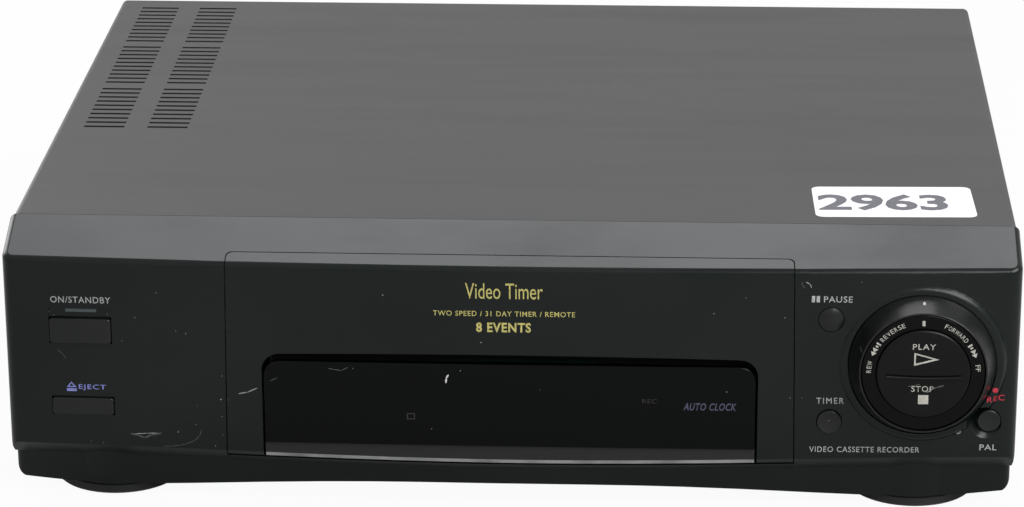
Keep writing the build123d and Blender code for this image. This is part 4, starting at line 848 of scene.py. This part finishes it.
def makeFloor(look):
    clearSelection()
    bpy.ops.mesh.primitive_plane_add(size=look["floorSize"], location=(0, 0, -0.05 * mm))
    floor = bpy.context.object
    settle(floor, "floor")
    material = newSurface("floorPale", look["floorColour"], 0.9, specular=0.1)
    rays = addNode(material, "ShaderNodeLightPath")
    mirrored = combine(material, "MAXIMUM", rays.outputs["Is Glossy Ray"],
                       rays.outputs["Is Transmission Ray"])
    mirrored = combine(material, "MULTIPLY", mirrored, look["mirrored"])
    seen = combine(material, "MAXIMUM", rays.outputs["Is Camera Ray"], mirrored)
    # painted shadow: the floor's white glow is switched off in a patch beneath the machine, so it stays
    # dark there
    split = addNode(material, "ShaderNodeSeparateXYZ")
    link(material, objectPoints(material), split.inputs["Vector"])
    beside = combine(material, "GREATER_THAN", combine(material, "ABSOLUTE", split.outputs["X"], 0),
                     look["under"][0])
    beyond = combine(material, "GREATER_THAN", combine(material, "ABSOLUTE", split.outputs["Y"], 0),
                     look["under"][1])
    seen = combine(material, "MULTIPLY", seen, combine(material, "MAXIMUM", beside, beyond))
    glow = addNode(material, "ShaderNodeEmission", Color=(1, 1, 1, 1), Strength=1.0)
    mixed = addNode(material, "ShaderNodeMixShader")
    tree = material.node_tree
    link(material, combine(material, "MULTIPLY", seen, look["floorGlow"]), mixed.inputs["Fac"])
    link(material, tree.nodes["Principled BSDF"].outputs["BSDF"], mixed.inputs[1])
    link(material, glow.outputs["Emission"], mixed.inputs[2])
    link(material, mixed.outputs["Shader"], tree.nodes["Material Output"].inputs["Surface"])
    floor.data.materials.append(material)


def makeSky(look):
    world = bpy.data.worlds.new("studio")
    bpy.context.scene.world = world
    world.use_nodes = True
    tree = world.node_tree
    background = tree.nodes["Background"]
    background.inputs["Color"].default_value = (1, 1, 1, 1)
    rays = tree.nodes.new("ShaderNodeLightPath")
    shown = rays.outputs["Is Camera Ray"]
    for other in ("Is Glossy Ray", "Is Transmission Ray"):
        either = tree.nodes.new("ShaderNodeMath")
        either.operation = "MAXIMUM"
        tree.links.new(shown, either.inputs[0])
        share = tree.nodes.new("ShaderNodeMath")
        share.operation = "MULTIPLY"
        tree.links.new(rays.outputs[other], share.inputs[0])
        share.inputs[1].default_value = look["skyMirrored"]
        tree.links.new(share.outputs[0], either.inputs[1])
        shown = either.outputs[0]
    level = tree.nodes.new("ShaderNodeMapRange")
    level.inputs["To Min"].default_value = look["skyGrey"]
    level.inputs["To Max"].default_value = 1.0
    tree.links.new(shown, level.inputs["Value"])
    tree.links.new(level.outputs["Result"], background.inputs["Strength"])


makeFloor(studio)
makeSky(studio)

softboxes = [
    dict(name="overheadBox", place=(0.0, 0.62, 1.5), target=(0, -0.13, 0.1), size=(1.1, 0.5), radiance=6.2,
         colour=(0.97, 0.965, 1.0)),
    dict(name="rightBox", place=(0.87, -0.58, 0.98), target=(0.15, -0.15, 0.06), size=(0.75, 0.6),
         radiance=9.0, colour=(1.0, 1.0, 1.0)),
    dict(name="frontBox", place=(0.56, -1.1, 0.8), target=(0.15, -0.15, 0.06), size=(0.6, 0.55),
         radiance=8.0, colour=(1.0, 1.0, 1.0)),
    dict(name="leftBox", place=(-0.95, 0.6, 0.62), target=(0.1, -0.15, 0.06), size=(0.8, 0.9), radiance=5.5,
         colour=(1.0, 1.0, 1.0)),
]
for box in softboxes:
    data = bpy.data.lights.new(box["name"], "AREA")
    data.shape = "RECTANGLE"
    data.size, data.size_y = box["size"]
    data.energy = box["radiance"] * math.pi * data.size * data.size_y
    data.color = box["colour"]
    lamp = bpy.data.objects.new(box["name"], data)
    bpy.context.collection.objects.link(lamp)
    lamp.location = box["place"]
    aim = Vector(box["target"]) - lamp.location
    lamp.rotation_euler = aim.to_track_quat("-Z", "Y").to_euler()
print("stage and lamps ready")

# camera: angles in degrees, distance in metres, focal length and width in pixels, drop in mm
view = dict(azimuth=2.884, elevation=20.232, roll=-0.239, distance=1.46328, focal=3781.7, width=1024,
            drop=13.75)
target = Vector((0, seamY, coverBox[1][2] - view["drop"] * mm))
swing = math.radians(view["azimuth"])
rise = math.radians(view["elevation"])
away = Vector((math.sin(swing) * math.cos(rise), -math.cos(swing) * math.cos(rise), math.sin(rise)))
cameraData = bpy.data.cameras.new("camera")
cameraData.sensor_width = 36
cameraData.lens = view["focal"] / view["width"] * cameraData.sensor_width
cameraData.clip_end = 20
camera = bpy.data.objects.new("camera", cameraData)
bpy.context.collection.objects.link(camera)
camera.location = target + away * view["distance"]
camera.rotation_mode = "QUATERNION"
camera.rotation_quaternion = Quaternion(away, math.radians(view["roll"])) @ (-away).to_track_quat("-Z", "Y")
bpy.context.scene.camera = camera
bpy.context.scene.view_settings.view_transform = "Standard"
